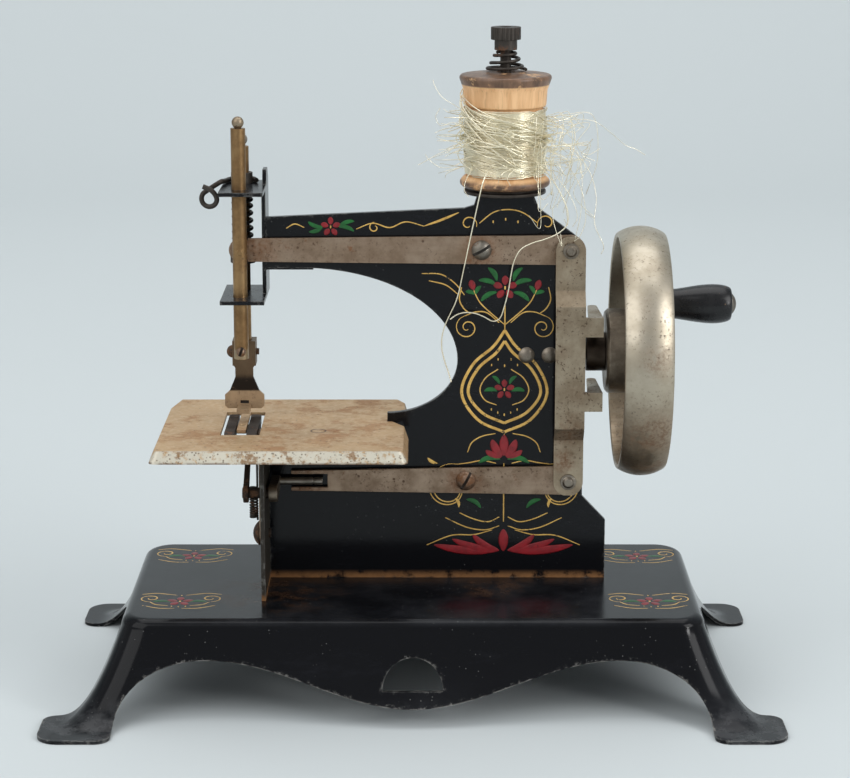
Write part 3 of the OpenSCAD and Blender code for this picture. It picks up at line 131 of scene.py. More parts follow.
def scaled(colour: Colour, share: float) -> Colour:
    """A colour times a share, no brighter than white."""
    return tuple(min(1.0, c * share) for c in colour)


class Shader:
    """One material's node tree, with short calls for the patterns that the finishes use."""

    def __init__(self, name: str) -> None:
        """Starts a material with a principled skin on Object coordinates."""
        self.material = bpy.data.materials.new(name)
        self.material.use_nodes = True
        self.tree = self.material.node_tree
        self.tree.nodes.clear()
        self.skin = self.add("BsdfPrincipled")
        self.add("OutputMaterial", Surface=self.skin.outputs["BSDF"])
        self.place = self.add("TexCoord").outputs["Object"]
        self.colour: Tint = (0.8, 0.8, 0.8)

    def add(self, kind: str, **inputs: Union[Level, Tint]) -> Node:
        """Adds a shader node of that kind and feeds its inputs, named with underscores for spaces."""
        node = self.tree.nodes.new(f"ShaderNode{kind}")
        self.fill(node, **inputs)
        return node

    def fill(self, node: Node, **inputs: Union[Level, Tint]) -> None:
        """Feeds a node's inputs by name."""
        for name, value in inputs.items():
            self.feed(node.inputs[name.replace("_", " ")], value)

    def feed(self, socket: Socket, value: Union[Level, Tint]) -> None:
        """Links a socket into another, or sets a plain number or colour on it."""
        if isinstance(value, Socket):
            self.tree.links.new(value, socket)
        elif isinstance(value, tuple) and socket.type == "RGBA":
            socket.default_value = (*value, 1.0)
        else:
            socket.default_value = value

    def set(self, **sockets: Union[Level, Tint]) -> None:
        """Sets or links the skin's sockets."""
        self.fill(self.skin, **sockets)

    def spread(self, stretch: Point, seed: float) -> Socket:
        """Object coordinates stretched and moved for one pattern."""
        shift = (seed, seed * 0.37, seed * 0.71)
        return self.add("Mapping", Scale=stretch, Location=shift, Vector=self.place).outputs["Vector"]

    def noise(self, scale: float, detail: float = 5.0, rough: float = 0.6,
              stretch: Point = (1, 1, 1), seed: float = 0.0) -> Socket:
        """Fractal noise.

        Args:
            scale: Waves per metre.
            detail: Octaves.
            rough: Share of the finer octaves.
            stretch: Scale along X, Y and Z.
            seed: Shift that makes another pattern.

        Returns:
            The noise's level, around 0.5.
        """
        return self.add("TexNoise", Scale=scale, Detail=detail, Roughness=rough,
                        Vector=self.spread(stretch, seed)).outputs["Fac"]

    def cells(self, scale: float, seed: float) -> Socket:
        """Distance to the nearest of scattered points, for specks and pits."""
        return self.add("TexVoronoi", Scale=scale, Vector=self.spread((1, 1, 1), seed)).outputs["Distance"]

    def span(self, value: Level, low: float, high: float) -> Socket:
        """Maps low to high onto 0 to 1 with soft ends."""
        node = self.add("MapRange", From_Min=low, From_Max=high, Value=value)
        node.interpolation_type = "SMOOTHSTEP"
        return node.outputs["Result"]

    def patch(self, low: float, high: float, scale: float, detail: float = 5.0, rough: float = 0.6,
              stretch: Point = (1, 1, 1), seed: float = 0.0) -> Socket:
        """Patches where noise lies above low, full from high on; the rest is as for noise."""
        return self.span(self.noise(scale, detail, rough, stretch, seed), low, high)

    def along(self, axis: int, low: float, high: float) -> Socket:
        """0 at one place along an axis to 1 at another, both in millimetres."""
        return self.span(self.add("SeparateXYZ", Vector=self.place).outputs[axis], low * MM, high * MM)

    def calc(self, kind: str, a: Level, b: Level) -> Socket:
        """One sum, product or other step of arithmetic, held between 0 and 1."""
        node = self.add("Math")
        node.operation = kind
        node.use_clamp = True
        self.feed(node.inputs[0], a)
        self.feed(node.inputs[1], b)
        return node.outputs[0]

    def vectors(self, kind: str, a: Tint, b: Tint) -> Node:
        """One step of arithmetic on two vectors."""
        node = self.add("VectorMath")
        node.operation = kind
        self.feed(node.inputs[0], a)
        self.feed(node.inputs[1], b)
        return node

    def both(self, *levels: Level) -> Level:
        """Product of several levels."""
        return reduce(lambda a, b: self.calc("MULTIPLY", a, b), levels)

    def either(self, *levels: Level) -> Level:
        """Largest of several levels."""
        return reduce(lambda a, b: self.calc("MAXIMUM", a, b), levels)

    def mix(self, kind: str, first: int, share: Level, a: Tint, b: Tint) -> Node:
        """Turns a into b by share; the sockets for that kind of value begin at a number."""
        node = self.add("Mix")
        node.data_type = kind
        for index, value in ((0, share), (first, a), (first + 1, b)):
            self.feed(node.inputs[index], value)
        return node

    def tint(self, share: Level, a: Tint, b: Tint) -> Socket:
        """Colour a turned into colour b by share."""
        return self.mix("RGBA", 6, share, a, b).outputs[2]

    def level(self, share: Level, a: Level, b: Level) -> Socket:
        """Number a turned into number b by share."""
        return self.mix("FLOAT", 2, share, a, b).outputs[0]

    def coat(self, colour: Tint, *levels: Level) -> None:
        """Lays a colour over the one so far, by the product of levels."""
        self.colour = self.tint(self.both(*levels), self.colour, colour)

    def normal(self) -> Socket:
        """The way that the face looks."""
        return self.add("NewGeometry").outputs["Normal"]

    def upward(self) -> Socket:
        """1 on faces that look up, 0 on walls."""
        return self.span(self.add("SeparateXYZ", Vector=self.normal()).outputs[Z_AXIS], 0.35, 0.95)

    def near(self, point: Point, radius: float) -> Socket:
        """1 at a point in millimetres, falling to 0 at a radius in millimetres."""
        gap = self.vectors("DISTANCE", self.place, tuple(c * MM for c in point))
        return self.span(gap.outputs["Value"], radius * MM, radius * 0.25 * MM)

    def groove(self, point: Point, turn: float) -> Socket:
        """1 in a screw slot through a point in millimetres, turned by degrees on a face that looks to the front."""
        angle = math.radians(turn)
        gap = self.vectors("SUBTRACT", self.place, tuple(c * MM for c in point))
        across = self.vectors("DOT_PRODUCT", gap.outputs[0], (-math.sin(angle), 0, math.cos(angle)))
        line = self.span(self.calc("ABSOLUTE", across.outputs["Value"], 0.0), 0.46 * MM, 0.30 * MM)
        return self.both(line, self.near(point, 11.0))

    def rim(self, radius: float) -> Socket:
        """1 along edges, for wear, within a radius in millimetres."""
        soft = self.add("Bevel", Radius=radius * MM)
        soft.samples = 6
        dot = self.vectors("DOT_PRODUCT", soft.outputs[0], self.normal())
        return self.span(dot.outputs["Value"], 0.985, 0.86)

    def bump(self, height: Level, depth: float) -> None:
        """Raises the surface by height times a depth in millimetres."""
        self.set(Normal=self.add("Bump", Distance=depth * MM, Height=height).outputs["Normal"])


class Finish:
    """A surface that can be made into one material."""

    name: str
    slot: Slot

    def paint(self, s: Shader) -> None:
        """Adds the finish's nodes to a fresh shader.

        Args:
            s: The shader, which holds the colour so far.
        """
        raise NotImplementedError

    def material(self) -> bpy.types.Material:
        """Builds the finish's nodes.

        Returns:
            The finished material.
        """
        s = Shader(self.name)
        self.paint(s)
        s.set(Base_Color=s.colour)
        return s.material


@dataclass(frozen=True)
class BlackEnamel(Finish):
    """Glossy black stove enamel with dust, scuffs, specks, chipped edges, pale rims of wear and painted highlight,
    and worn toes.
    """

    name: str = "black_enamel"
    slot: Slot = Slot.ENAMEL
    ink: Colour = (0.0040, 0.0042, 0.0054)
    dust: Colour = (0.050, 0.053, 0.060)
    scuffed: Colour = (0.017, 0.018, 0.024)
    fleck: Colour = (0.24, 0.24, 0.23)
    bare: Colour = (0.24, 0.235, 0.22)
    bare_toe: Colour = (0.085, 0.088, 0.092)
    stain: Colour = (0.035, 0.021, 0.012)
    rust: Colour = (0.17, 0.075, 0.028)
    fresh_rust: Colour = (0.33, 0.16, 0.06)
    film: float = 0.3
    speck: float = 0.7
    chips: float = 0.35
    rust_foot: float = 0.0
    toes: float = 0.0
    gloss: float = 0.14
    shine: float = 0.22
    stains: tuple[tuple[Point, float], ...] = ()

    def paint(self, s: Shader) -> None:
        """Lays dust, scuffs, stains, bare toes, specks, chips, pale rims of wear and painted highlight, and rust on
        the ink.
        """
        film = s.both(s.patch(0.36, 0.68, 34, 7, 0.64), s.upward(), self.film)
        scuff = s.both(s.patch(0.54, 0.74, 75, 8, 0.74, (0.4, 1, 1.5), 3), 0.55)
        patch = s.patch(0.50, 0.62, 48, 4, 0.6, seed=5)
        speck = s.both(s.span(s.cells(640, 1.7), 0.14, 0.06), patch, self.speck)
        # Pale rims: partly worn paint, partly a painted highlight along the edges.
        edge = s.both(s.rim(0.5), s.patch(0.42, 0.60, 260, 6, 0.7, seed=8))
        chip = s.both(s.rim(1.7), s.patch(0.54, 0.62, 520, 6, 0.72, seed=15), self.chips)
        s.colour = self.ink
        s.coat(self.dust, film)
        s.coat(self.scuffed, scuff, 0.6)
        rough = s.level(film, self.gloss, self.gloss + 0.28)
        rough = s.level(scuff, rough, self.gloss + 0.22)
        for place, radius in self.stains:
            stain = s.both(s.near(place, radius), s.patch(0.44, 0.62, 140, 8, 0.72, seed=17))
            s.coat(s.tint(s.noise(500, 5, 0.6, seed=19), self.stain, self.rust), stain, 0.38)
            rough = s.level(stain, rough, 0.3)
        if self.toes:
            worn = s.both(s.along(Z_AXIS, 8.5, 1.5), s.patch(0.40, 0.62, 170, 7, 0.7, seed=21),
                          s.along(Y_AXIS, 20, -20), self.toes)
            s.coat(self.bare_toe, worn)
            rough = s.level(worn, rough, 0.5)
        s.coat(self.fleck, speck)
        # Bare colour on chips, which are wear, and on rims, which are wear and painted highlight.
        s.coat(self.bare, s.either(edge, chip), 0.8)
        if self.rust_foot:
            foot = s.both(s.along(Z_AXIS, 29.6, 27.2), s.patch(0.36, 0.52, 210, 7, 0.7, seed=11),
                          self.rust_foot)
            s.coat(s.tint(s.noise(800), self.rust, self.fresh_rust), foot)
            rough = s.level(foot, rough, 0.85)
        s.set(Roughness=s.level(edge, rough, 0.5), Specular_IOR_Level=self.shine)
        s.bump(s.level(scuff, s.noise(620, 3, 0.5), 0.75), 0.012)


@dataclass(frozen=True)
class Metal(Finish):
    """Plated or bare metal with dull, pitted and rusted patches, and painted shade in the slots of screw heads."""

    name: str
    slot: Slot
    bright: Colour
    dull: Colour
    rust: Colour = (0.115, 0.052, 0.022)
    slot_shade: Colour = (0.012, 0.009, 0.007)
    shine: float = 0.9
    smooth: float = 0.30
    coarse: float = 0.50
    rust_from: float = 0.60
    pits: float = 0.6
    stipple: float = 0.0
    grain: Point = (1, 1, 1)
    spots: tuple[tuple[Point, float], ...] = ()
    low_tint: Union[tuple[float, float, Colour], None] = None
    slots: tuple[tuple[Point, float], ...] = ()

    def paint(self, s: Shader) -> None:
        """Lays streaks, bright edges, rust, pits and painted shade in screw slots on the metal."""
        tone = s.patch(0.34, 0.66, 120, 7, 0.66)
        streak = s.noise(700, 4, 0.55, self.grain, 2)
        bloom = s.noise(150, 9, 0.74, seed=4)
        rust = s.span(bloom, self.rust_from, self.rust_from + 0.09)
        for point, radius in self.spots:
            grit = s.level(s.patch(0.42, 0.60, 1000, 5, 0.66, seed=22), 0.4, 0.9)
            rust = s.either(rust, s.both(s.near(point, radius), s.span(bloom, 0.38, 0.54), grit))
        patch = s.patch(0.53, 0.62, 62, 5, 0.62, seed=9)
        pit = s.both(s.span(s.cells(520, 6), 0.27, 0.10), patch, self.pits)
        if self.stipple:
            fine = s.patch(0.55, 0.66, 1250, 5, 0.66, seed=16)
            pit = s.either(pit, s.both(fine, s.patch(0.40, 0.58, 95, 7, 0.7, seed=18), self.stipple))
        edge = s.both(s.rim(0.4), s.patch(0.40, 0.58, 330, 5, 0.6, seed=12))
        s.colour = self.bright
        s.coat(self.dull, tone)
        if self.low_tint:
            height, soft, hue = self.low_tint
            s.coat(s.tint(tone, hue, scaled(hue, 0.7)), s.along(Z_AXIS, height + soft, height - soft))
        s.coat(self.dull, s.span(streak, 0.40, 0.72), 0.35)
        s.coat(scaled(self.bright, 1.35), edge, 0.5)
        s.coat(s.tint(s.noise(900, 4, 0.6, seed=14), self.rust, scaled(self.rust, 2.1)), rust)
        s.coat(scaled(self.rust, 0.55), pit)
        decay_and_slot_shade = s.either(rust, pit)
        # Painted shade: each screw slot is darkened, made less metallic and rougher, as if in shadow.
        for place, turn in self.slots:
            groove = s.groove(place, turn)
            s.coat(self.slot_shade, groove, 0.92)
            decay_and_slot_shade = s.either(decay_and_slot_shade, groove)
        s.set(Metallic=s.level(decay_and_slot_shade, self.shine, 0.1),
              Roughness=s.level(decay_and_slot_shade, s.level(tone, self.smooth, self.coarse), 0.82))
        s.bump(s.level(decay_and_slot_shade, s.both(streak, 0.35), 1.0), 0.030)


@dataclass(frozen=True)
class FootSheet(Finish):
    """Bent sheet of the presser foot: tan plate below, painted shade across the bend, brown neck."""

    name: str = "foot_sheet"
    slot: Slot = Slot.BRASSY
    tan: Colour = (0.45, 0.315, 0.19)
    fold_shade: Colour = (0.020, 0.014, 0.010)
    neck: Colour = (0.17, 0.115, 0.068)
    rust: Colour = (0.11, 0.055, 0.026)
    pit: Colour = (0.016, 0.011, 0.008)
    toe: float = 80.2
    waist: float = 84.2
    recess: tuple[float, float, float] = (7.2, 76.2, 77.6)

    def paint(self, s: Shader) -> None:
        """Parts the sheet into tan plate, shaded bend and neck, with rust and pits; the bend and the recess get
        painted shade.
        """
        tone, fine = s.noise(240, 7, 0.68), s.noise(900, 5, 0.6, seed=3)
        below = s.along(Z_AXIS, self.toe + 0.3, self.toe - 0.3)
        above = s.along(Z_AXIS, self.waist - 1.0, self.waist + 1.2)
        # Painted shade: the recess is painted in the dark pit colour, as if shadow showed through it.
        deep, low, high = self.recess
        hole = s.both(s.along(Y_AXIS, deep, deep + 0.2), s.along(Z_AXIS, low, low + 0.1),
                      s.along(Z_AXIS, high, high - 0.1))
        rust = s.both(s.patch(0.56, 0.66, 330, 8, 0.74, seed=5), 0.8)
        # Painted shade: the bend between plate and neck starts as a near-black shade colour.
        s.colour = self.fold_shade
        s.coat(s.tint(tone, self.neck, scaled(self.neck, 0.55)), above)
        s.coat(s.tint(s.span(tone, 0.35, 0.68), self.tan, scaled(self.tan, 0.72)), below)
        s.coat(self.rust, rust)
        # The pit colour is painted shade in the recess, and real pitting where the fine noise is high.
        s.coat(self.pit, s.either(hole, s.both(s.span(fine, 0.64, 0.72), 0.6)))
        s.set(Metallic=s.level(s.either(rust, hole), s.level(below, 0.75, 0.5), 0.1),
              Roughness=s.level(rust, s.level(fine, 0.36, 0.52), 0.8))
        s.bump(s.level(rust, s.both(fine, 0.5), 1.0), 0.03)


@dataclass(frozen=True)
class TinPlate(Finish):
    """Tinned sheet gone tan, with rust blooms and a pale worn lip in front."""

    name: str = "tin_plate"
    slot: Slot = Slot.TIN
    tan: Colour = (0.525, 0.343, 0.176)
    pale: Colour = (0.64, 0.50, 0.335)
    rust: Colour = (0.25, 0.105, 0.036)
    pit: Colour = (0.075, 0.040, 0.020)
    ring: Colour = (0.075, 0.034, 0.015)
    lip: Colour = (0.62, 0.58, 0.48)
    pepper: Colour = (0.11, 0.07, 0.04)
    scabs: tuple[Colour, Colour] = ((0.17, 0.095, 0.045), (0.36, 0.21, 0.10))
    under: Colour = (0.085, 0.050, 0.030)
    edge: Colour = (0.16, 0.085, 0.04)
    front: float = -32.0
    rivet: Point = (-26.0, -9.0, 72.5)

    def paint(self, s: Shader) -> None:
        """Lays rust, the rivet's ring, the peppered lip and the dark underside on the tan sheet."""
        wide, mid, fine = s.noise(42, 8, 0.70), s.noise(150, 8, 0.72, seed=3), s.noise(700, 5, 0.62, seed=6)
        bloom = s.both(s.span(mid, 0.46, 0.60), s.span(wide, 0.38, 0.56))
        dark = s.both(s.span(s.cells(560, 2), 0.24, 0.07), s.span(mid, 0.45, 0.57))
        lip = s.along(Y_AXIS, self.front + 0.9, self.front)
        pepper = s.both(lip, s.span(s.cells(1100, 5), 0.34, 0.16), s.span(mid, 0.40, 0.52))
        scab = s.both(lip, s.patch(0.52, 0.60, 260, 8, 0.74, seed=9))
        close = s.near(self.rivet, 3.2)
        s.colour = self.tan
        s.coat(scaled(self.tan, 0.80), s.span(wide, 0.34, 0.66))
        s.coat(self.pale, s.span(fine, 0.42, 0.70), 0.55)
        s.coat(self.rust, bloom, 0.62)
        s.coat(self.pit, dark, 0.8)
        s.coat(self.rust, s.near(self.rivet, 9.0), s.span(mid, 0.40, 0.56), 0.5)
        s.coat(self.ring, s.span(close, 0.26, 0.42), s.span(close, 0.70, 0.56), 0.9)
        s.coat(self.lip, lip, s.span(fine, 0.30, 0.50))
        s.coat(self.pepper, pepper, 0.8)
        s.coat(s.tint(fine, *self.scabs), scab, 0.85)
        s.coat(self.under, s.along(Z_AXIS, 70.0, 69.2), s.span(mid, 0.36, 0.54))
        s.coat(self.edge, s.rim(0.35), s.span(mid, 0.42, 0.55), 0.7)
        s.set(Metallic=s.level(s.either(bloom, dark), 0.42, 0.02),
              Roughness=s.level(bloom, s.level(fine, 0.40, 0.58), 0.80))
        s.bump(s.level(bloom, s.both(fine, 0.5), 0.9), 0.05)


@dataclass(frozen=True)
class SpoolWood(Finish):
    """Turned birch with stained, rubbed flanges."""

    name: str = "spool_wood"
    slot: Slot = Slot.WOOD
    wood: Colour = (0.88, 0.55, 0.285)
    grain: Colour = (0.68, 0.37, 0.165)
    ruddy: Colour = (0.30, 0.13, 0.05)
    stain: Colour = (0.088, 0.049, 0.029)
    worn: Colour = (0.33, 0.19, 0.095)
    top: float = 169.25
    low: float = 137.75
    cap: float = 3.3

    def paint(self, s: Shader) -> None:
        """Lays grain, pores, stain and rubbed edges on the wood."""
        ring = s.noise(420, 5, 0.6, (1, 1, 0.09))
        pore = s.patch(0.56, 0.70, 2100, 3, 0.5, (1, 1, 0.035), 3)
        rubbed = s.noise(230, 7, 0.7, seed=5)
        high = s.along(Z_AXIS, self.top - self.cap - 0.25, self.top - self.cap + 0.25)
        deep = s.along(Z_AXIS, self.low + 2.7, self.low + 1.5)
        stain = s.both(s.either(high, deep), s.span(rubbed, 0.68, 0.54))
        s.colour = self.wood
        s.coat(self.grain, s.span(ring, 0.32, 0.70))
        s.coat(scaled(self.grain, 0.6), pore, 0.45)
        s.coat(self.ruddy, s.span(rubbed, 0.55, 0.75), 0.3)
        s.coat(s.tint(s.span(ring, 0.3, 0.7), self.stain, scaled(self.stain, 2.4)), stain)
        s.coat(self.worn, s.rim(0.8), s.span(rubbed, 0.42, 0.58), 0.7)
        s.set(Roughness=s.level(stain, s.level(ring, 0.42, 0.56), 0.38))
        s.bump(s.both(ring, s.level(pore, 1.0, 0.4)), 0.05)


@dataclass(frozen=True)
class BlackLacquer(Finish):
    """Shiny black lacquer on a turned wooden handle."""

    name: str = "black_lacquer"
    slot: Slot = Slot.BLACK_WOOD
    ink: Colour = (0.006, 0.006, 0.007)
    smeared: Colour = (0.024, 0.023, 0.024)
    wood: Colour = (0.12, 0.075, 0.045)

    def paint(self, s: Shader) -> None:
        """Lays smears, nicks and worn edges on the ink."""
        smear = s.noise(90, 7, 0.66)
        nick = s.both(s.span(s.cells(360, 3), 0.14, 0.05), s.patch(0.50, 0.60, 60, 4, 0.6, seed=2))
        edge = s.both(s.rim(0.5), s.patch(0.50, 0.66, 300, 5, 0.7, seed=7))
        s.colour = self.ink
        s.coat(self.smeared, s.span(smear, 0.45, 0.75), 0.5)
        s.coat(self.wood, s.either(nick, edge))
        s.set(Roughness=s.level(s.span(smear, 0.4, 0.7), 0.24, 0.42), Specular_IOR_Level=0.4)
        s.bump(s.noise(500, 3, 0.5, (0.15, 1, 1), 4), 0.015)


@dataclass(frozen=True)
class SpunThread(Finish):
    """Pale spun thread with a soft sheen and faint twist."""

    name: str = "spun_thread"
    slot: Slot = Slot.THREAD
    pale: Colour = (0.97, 0.91, 0.71)
    shade: Colour = (0.62, 0.51, 0.32)
    sheen: Colour = (0.92, 0.87, 0.72)

    def paint(self, s: Shader) -> None:
        """Lays soil, twist and a painted sheen along the twist on the pale thread."""
        twist = s.noise(3800, 2, 0.5, (1, 1, 2.4), 3)
        s.colour = self.pale
        s.coat(self.shade, s.patch(0.40, 0.72, 160, 6, 0.65), 0.55)
        # Painted sheen: strands lighten where the twist noise is high.
        s.coat(self.sheen, s.span(twist, 0.45, 0.75), 0.35)
        s.set(Metallic=0.6, Roughness=s.level(twist, 0.18, 0.27), Specular_IOR_Level=1.0)
        s.bump(twist, 0.006)


@dataclass(frozen=True)
class BrushedPaint(Finish):
    """Thin hand paint on enamel, worn through to the black in places."""

    name: str
    hue: Colour
    second: Colour
    shine: float = 0.0
    worn: float = 0.57
    black: Colour = (0.010, 0.010, 0.012)
    slot: Slot = Slot.ENAMEL

    def paint(self, s: Shader) -> None:
        """Lays a second hue and worn patches on the paint."""
        tone = s.noise(420, 5, 0.62)
        loss = s.either(s.patch(self.worn, self.worn + 0.06, 330, 8, 0.76, seed=3),
                        s.patch(0.66, 0.72, 1500, 4, 0.6, seed=8))
        s.colour = self.hue
        s.coat(self.second, s.span(tone, 0.35, 0.68))
        s.coat(self.black, loss)
        s.set(Metallic=s.level(loss, self.shine, 0.0) if self.shine else 0.0, Roughness=s.level(loss, 0.38, 0.22))
        s.bump(s.level(loss, tone, 0.0), 0.02)


class Finishes:
    """The finishes of this machine, each made into one material when it is first asked for."""

    base = BlackEnamel("base_enamel", film=0.35, speck=0.5, chips=0.9, toes=0.45, shine=0.17,
                       stains=(((-38, -12, 27), 24), ((20, -6, 27), 16)))
    plate = BlackEnamel("plate_enamel", film=0.3, speck=0.3, rust_foot=0.9)
    end = BlackEnamel("end_enamel", ink=(0.030, 0.026, 0.021), film=0.2, speck=0.5, chips=0.9, rust_foot=0.9,
                      gloss=0.45, shine=0.16)
    bracket = BlackEnamel("bracket_enamel", film=0.3, speck=0.3, chips=0.5, gloss=0.2)
    wheel = Metal("satin_nickel", Slot.NICKEL, (0.53, 0.475, 0.38), (0.42, 0.365, 0.28), (0.10, 0.052, 0.025),
                  rust_from=0.67, smooth=0.33, coarse=0.43, grain=(0.2, 1, 1), pits=0.12, stipple=0.55,
                  low_tint=(78, 28, (0.255, 0.178, 0.108)),
                  spots=(((65, -24, 72), 13), ((66, -30, 96), 8), ((62, -26, 112), 7), ((66, -12, 60), 9)))
    link = Metal("link_nickel", Slot.NICKEL, (0.42, 0.345, 0.25), (0.285, 0.222, 0.152), rust_from=0.62,
                 smooth=0.34, coarse=0.52, grain=(1, 1, 0.12), stipple=0.95, pits=0.6,
                 spots=(((43, 0, 72), 8), ((41, 0, 94), 6), ((45, 0, 82), 6), ((42, 0, 62), 5)))
    lever = Metal("lever_steel", Slot.STEEL, (0.37, 0.275, 0.20), (0.235, 0.165, 0.112), rust_from=0.59,
                  smooth=0.36, coarse=0.56, pits=0.85, grain=(0.10, 1, 1), stipple=0.9,
                  spots=(((18.8, 0, 121.2), 7.5), ((14.7, 0, 55.8), 8.0), ((-44, 0, 121), 9.0), ((-30, 0, 56), 9.0)))
    steel = Metal("small_steel", Slot.STEEL, (0.28, 0.255, 0.22), (0.165, 0.145, 0.12), rust_from=0.60)
    screw = Metal("screw_steel", Slot.STEEL, (0.30, 0.275, 0.24), (0.18, 0.16, 0.13), rust_from=0.60, stipple=0.5,
                  slots=(((18.8, 0, 121.2), 30),))
    old_screw = Metal("old_screw", Slot.STEEL, (0.33, 0.225, 0.16), (0.21, 0.135, 0.09), rust_from=0.52, stipple=0.7,
                      slots=(((14.7, 0, 55.8), 60), ((-47.3, -4, 93.6), 70)))
    rivet = Metal("rivet_steel", Slot.STEEL, (0.285, 0.25, 0.205), (0.16, 0.135, 0.105), smooth=0.34, coarse=0.55,
                  pits=0.8, stipple=0.7)
    hub = Metal("dark_steel", Slot.STEEL, (0.27, 0.225, 0.172), (0.115, 0.092, 0.068), rust_from=0.62,
                smooth=0.32, coarse=0.5, grain=(0.2, 1, 1), stipple=0.5)
    drum = Metal("drum_steel", Slot.STEEL, (0.070, 0.052, 0.038), (0.036, 0.026, 0.019), rust_from=0.60,
                 smooth=0.34, coarse=0.55, grain=(0.2, 1, 1))
    brassy = Metal("brassy_steel", Slot.BRASSY, (0.36, 0.225, 0.105), (0.20, 0.115, 0.05), (0.09, 0.042, 0.02),
                   rust_from=0.62, smooth=0.30, coarse=0.52, grain=(1, 1, 0.10),
                   low_tint=(94.0, 0.5, (0.42, 0.32, 0.20)))
    foot = FootSheet()
    iron = Metal("dark_iron", Slot.IRON, (0.070, 0.060, 0.052), (0.040, 0.033, 0.028), rust=(0.075, 0.034, 0.016),
                 rust_from=0.56, shine=0.75, smooth=0.42, coarse=0.62)
    rusty = Metal("rusty_iron", Slot.IRON, (0.055, 0.040, 0.030), (0.034, 0.024, 0.018), rust=(0.085, 0.040, 0.018),
                  rust_from=0.48, shine=0.6, smooth=0.5, coarse=0.7, stipple=0.8)
    tin = TinPlate()
    wood = SpoolWood()
    lacquer = BlackLacquer()
    thread = SpunThread()
    gold = BrushedPaint("gold_paint", (0.76, 0.48, 0.125), (0.56, 0.33, 0.075), shine=0.12, worn=0.57)
    red = BrushedPaint("red_paint", (0.27, 0.008, 0.014), (0.17, 0.006, 0.010), worn=0.61)
    green = BrushedPaint("green_paint", (0.007, 0.135, 0.022), (0.005, 0.080, 0.014), worn=0.60)
    made: dict[str, bpy.types.Material] = {}

    @classmethod
    def get(cls, finish: Finish) -> bpy.types.Material:
        """The material of a finish, made once."""
        if finish.name not in cls.made:
            cls.made[finish.name] = finish.material()
        return cls.made[finish.name]


# ---------------------------------------------------------------- making pieces


def smooth(points: Sequence[Vector], steps: int) -> list[Vector]:
    """Rounds a route through its points.

    Args:
        points: The route's points.
        steps: Points made for each stretch of the route.

    Returns:
        The rounded route, with the same first and last point.
    """
    ends = [points[0] * 2 - points[1], *points, points[-1] * 2 - points[-2]]
    route: list[Vector] = []
    for a, b, c, d in zip(ends, ends[1:], ends[2:], ends[3:]):
        for k in range(steps):
            t = k / steps
            route.append(0.5 * (2 * b + (c - a) * t + (2 * a - 5 * b + 4 * c - d) * t * t
                                + (3 * b - a - 3 * c + d) * t ** 3))
    return [*route, points[-1].copy()]


def up(height: float) -> Vector:
    """A vector straight up."""
    return Vector((0, 0, height))


def placed(name: str, data: bpy.types.ID) -> Thing:
    """A new object in the scene."""
    thing = bpy.data.objects.new(name, data)
    bpy.context.scene.collection.objects.link(thing)
    return thing


def piece_of(name: str, bm: Mesh) -> Thing:
    """Turns a finished bmesh into a piece in the scene."""
    mesh = bpy.data.meshes.new(name)
    bm.to_mesh(mesh)
    bm.free()
    return placed(name, mesh)


def baked(name: str, source: Thing) -> Thing:
    """Turns a curve, or a mesh with modifiers, into a plain mesh piece of that name."""
    bpy.context.view_layer.update()
    mesh = bpy.data.meshes.new_from_object(source.evaluated_get(bpy.context.evaluated_depsgraph_get()))
    bpy.data.objects.remove(source)
    mesh.name = name
    mesh.materials.clear()
    return placed(name, mesh)


def curve_of(name: str, routes: Sequence[Sequence[Vector]], radii: Sequence[Sequence[float]], depth: float,
             sides: int) -> Thing:
    """Round strands as one curve in the scene.

    Args:
        name: The curve's name.
        routes: Points of each strand.
        radii: Radius at each point of each strand, as a share of the depth.
        depth: Radius that the shares are taken of.
        sides: Roundness of the section, 0 for four sides, 1 for six and 2 for eight.

    Returns:
        The curve.
    """
    curve = bpy.data.curves.new(name, "CURVE")
    curve.dimensions = "3D"
    curve.bevel_depth = depth
    curve.bevel_resolution = sides
    curve.use_fill_caps = True
    for route, widths in zip(routes, radii):
        line = curve.splines.new("POLY")
        line.points.add(len(route) - 1)
        for spot, co, r in zip(line.points, route, widths):
            spot.co = (*co, 1.0)
            spot.radius = r
    return placed(name, curve)


def wires(name: str, routes: Sequence[Sequence[Vector]], radii: Sequence[Sequence[float]],
          sides: int = 1) -> Thing:
    """Round wires or strands, with radii in metres, as one smooth mesh piece."""
    piece = baked(name, curve_of(name, routes, radii, 1.0, sides))
    piece.data.shade_smooth()
    return piece


def fresh_verts(made: list) -> list[Vert]:
    """The points among what an extrusion made."""
    return [g for g in made if isinstance(g, Vert)]


def grow(bm: Mesh,
         edges: list[Edge]) -> tuple[list[Vert], list[Edge]]:
    """Extrudes a row of edges, which still has to be moved.

    Args:
        bm: The bmesh.
        edges: The row.

    Returns:
        Points and edges of the new row.
    """
    made = bmesh.ops.extrude_edge_only(bm, edges=edges)["geom"]
    verts = fresh_verts(made)
    row = set(verts)
    return verts, [g for g in made if isinstance(g, Edge) and row.issuperset(g.verts)]


def prism(bm: Mesh, outline: Sequence[Point], way: Vector) -> None:
    """Adds a closed prism whose faces look outward.

    Args:
        bm: The bmesh that it is added to.
        outline: Points of its first end, in metres.
        way: From its first end to the other, in metres.
    """
    known, volume = set(bm.faces), bm.calc_volume(signed=True)
    face = bm.faces.new([bm.verts.new(p) for p in outline])
    made = bmesh.ops.extrude_face_region(bm, geom=[face])["geom"]
    bmesh.ops.translate(bm, verts=fresh_verts(made), vec=way)
    fresh = [f for f in bm.faces if f not in known]
    bmesh.ops.recalc_face_normals(bm, faces=fresh)
    if bm.calc_volume(signed=True) < volume:
        bmesh.ops.reverse_faces(bm, faces=fresh)


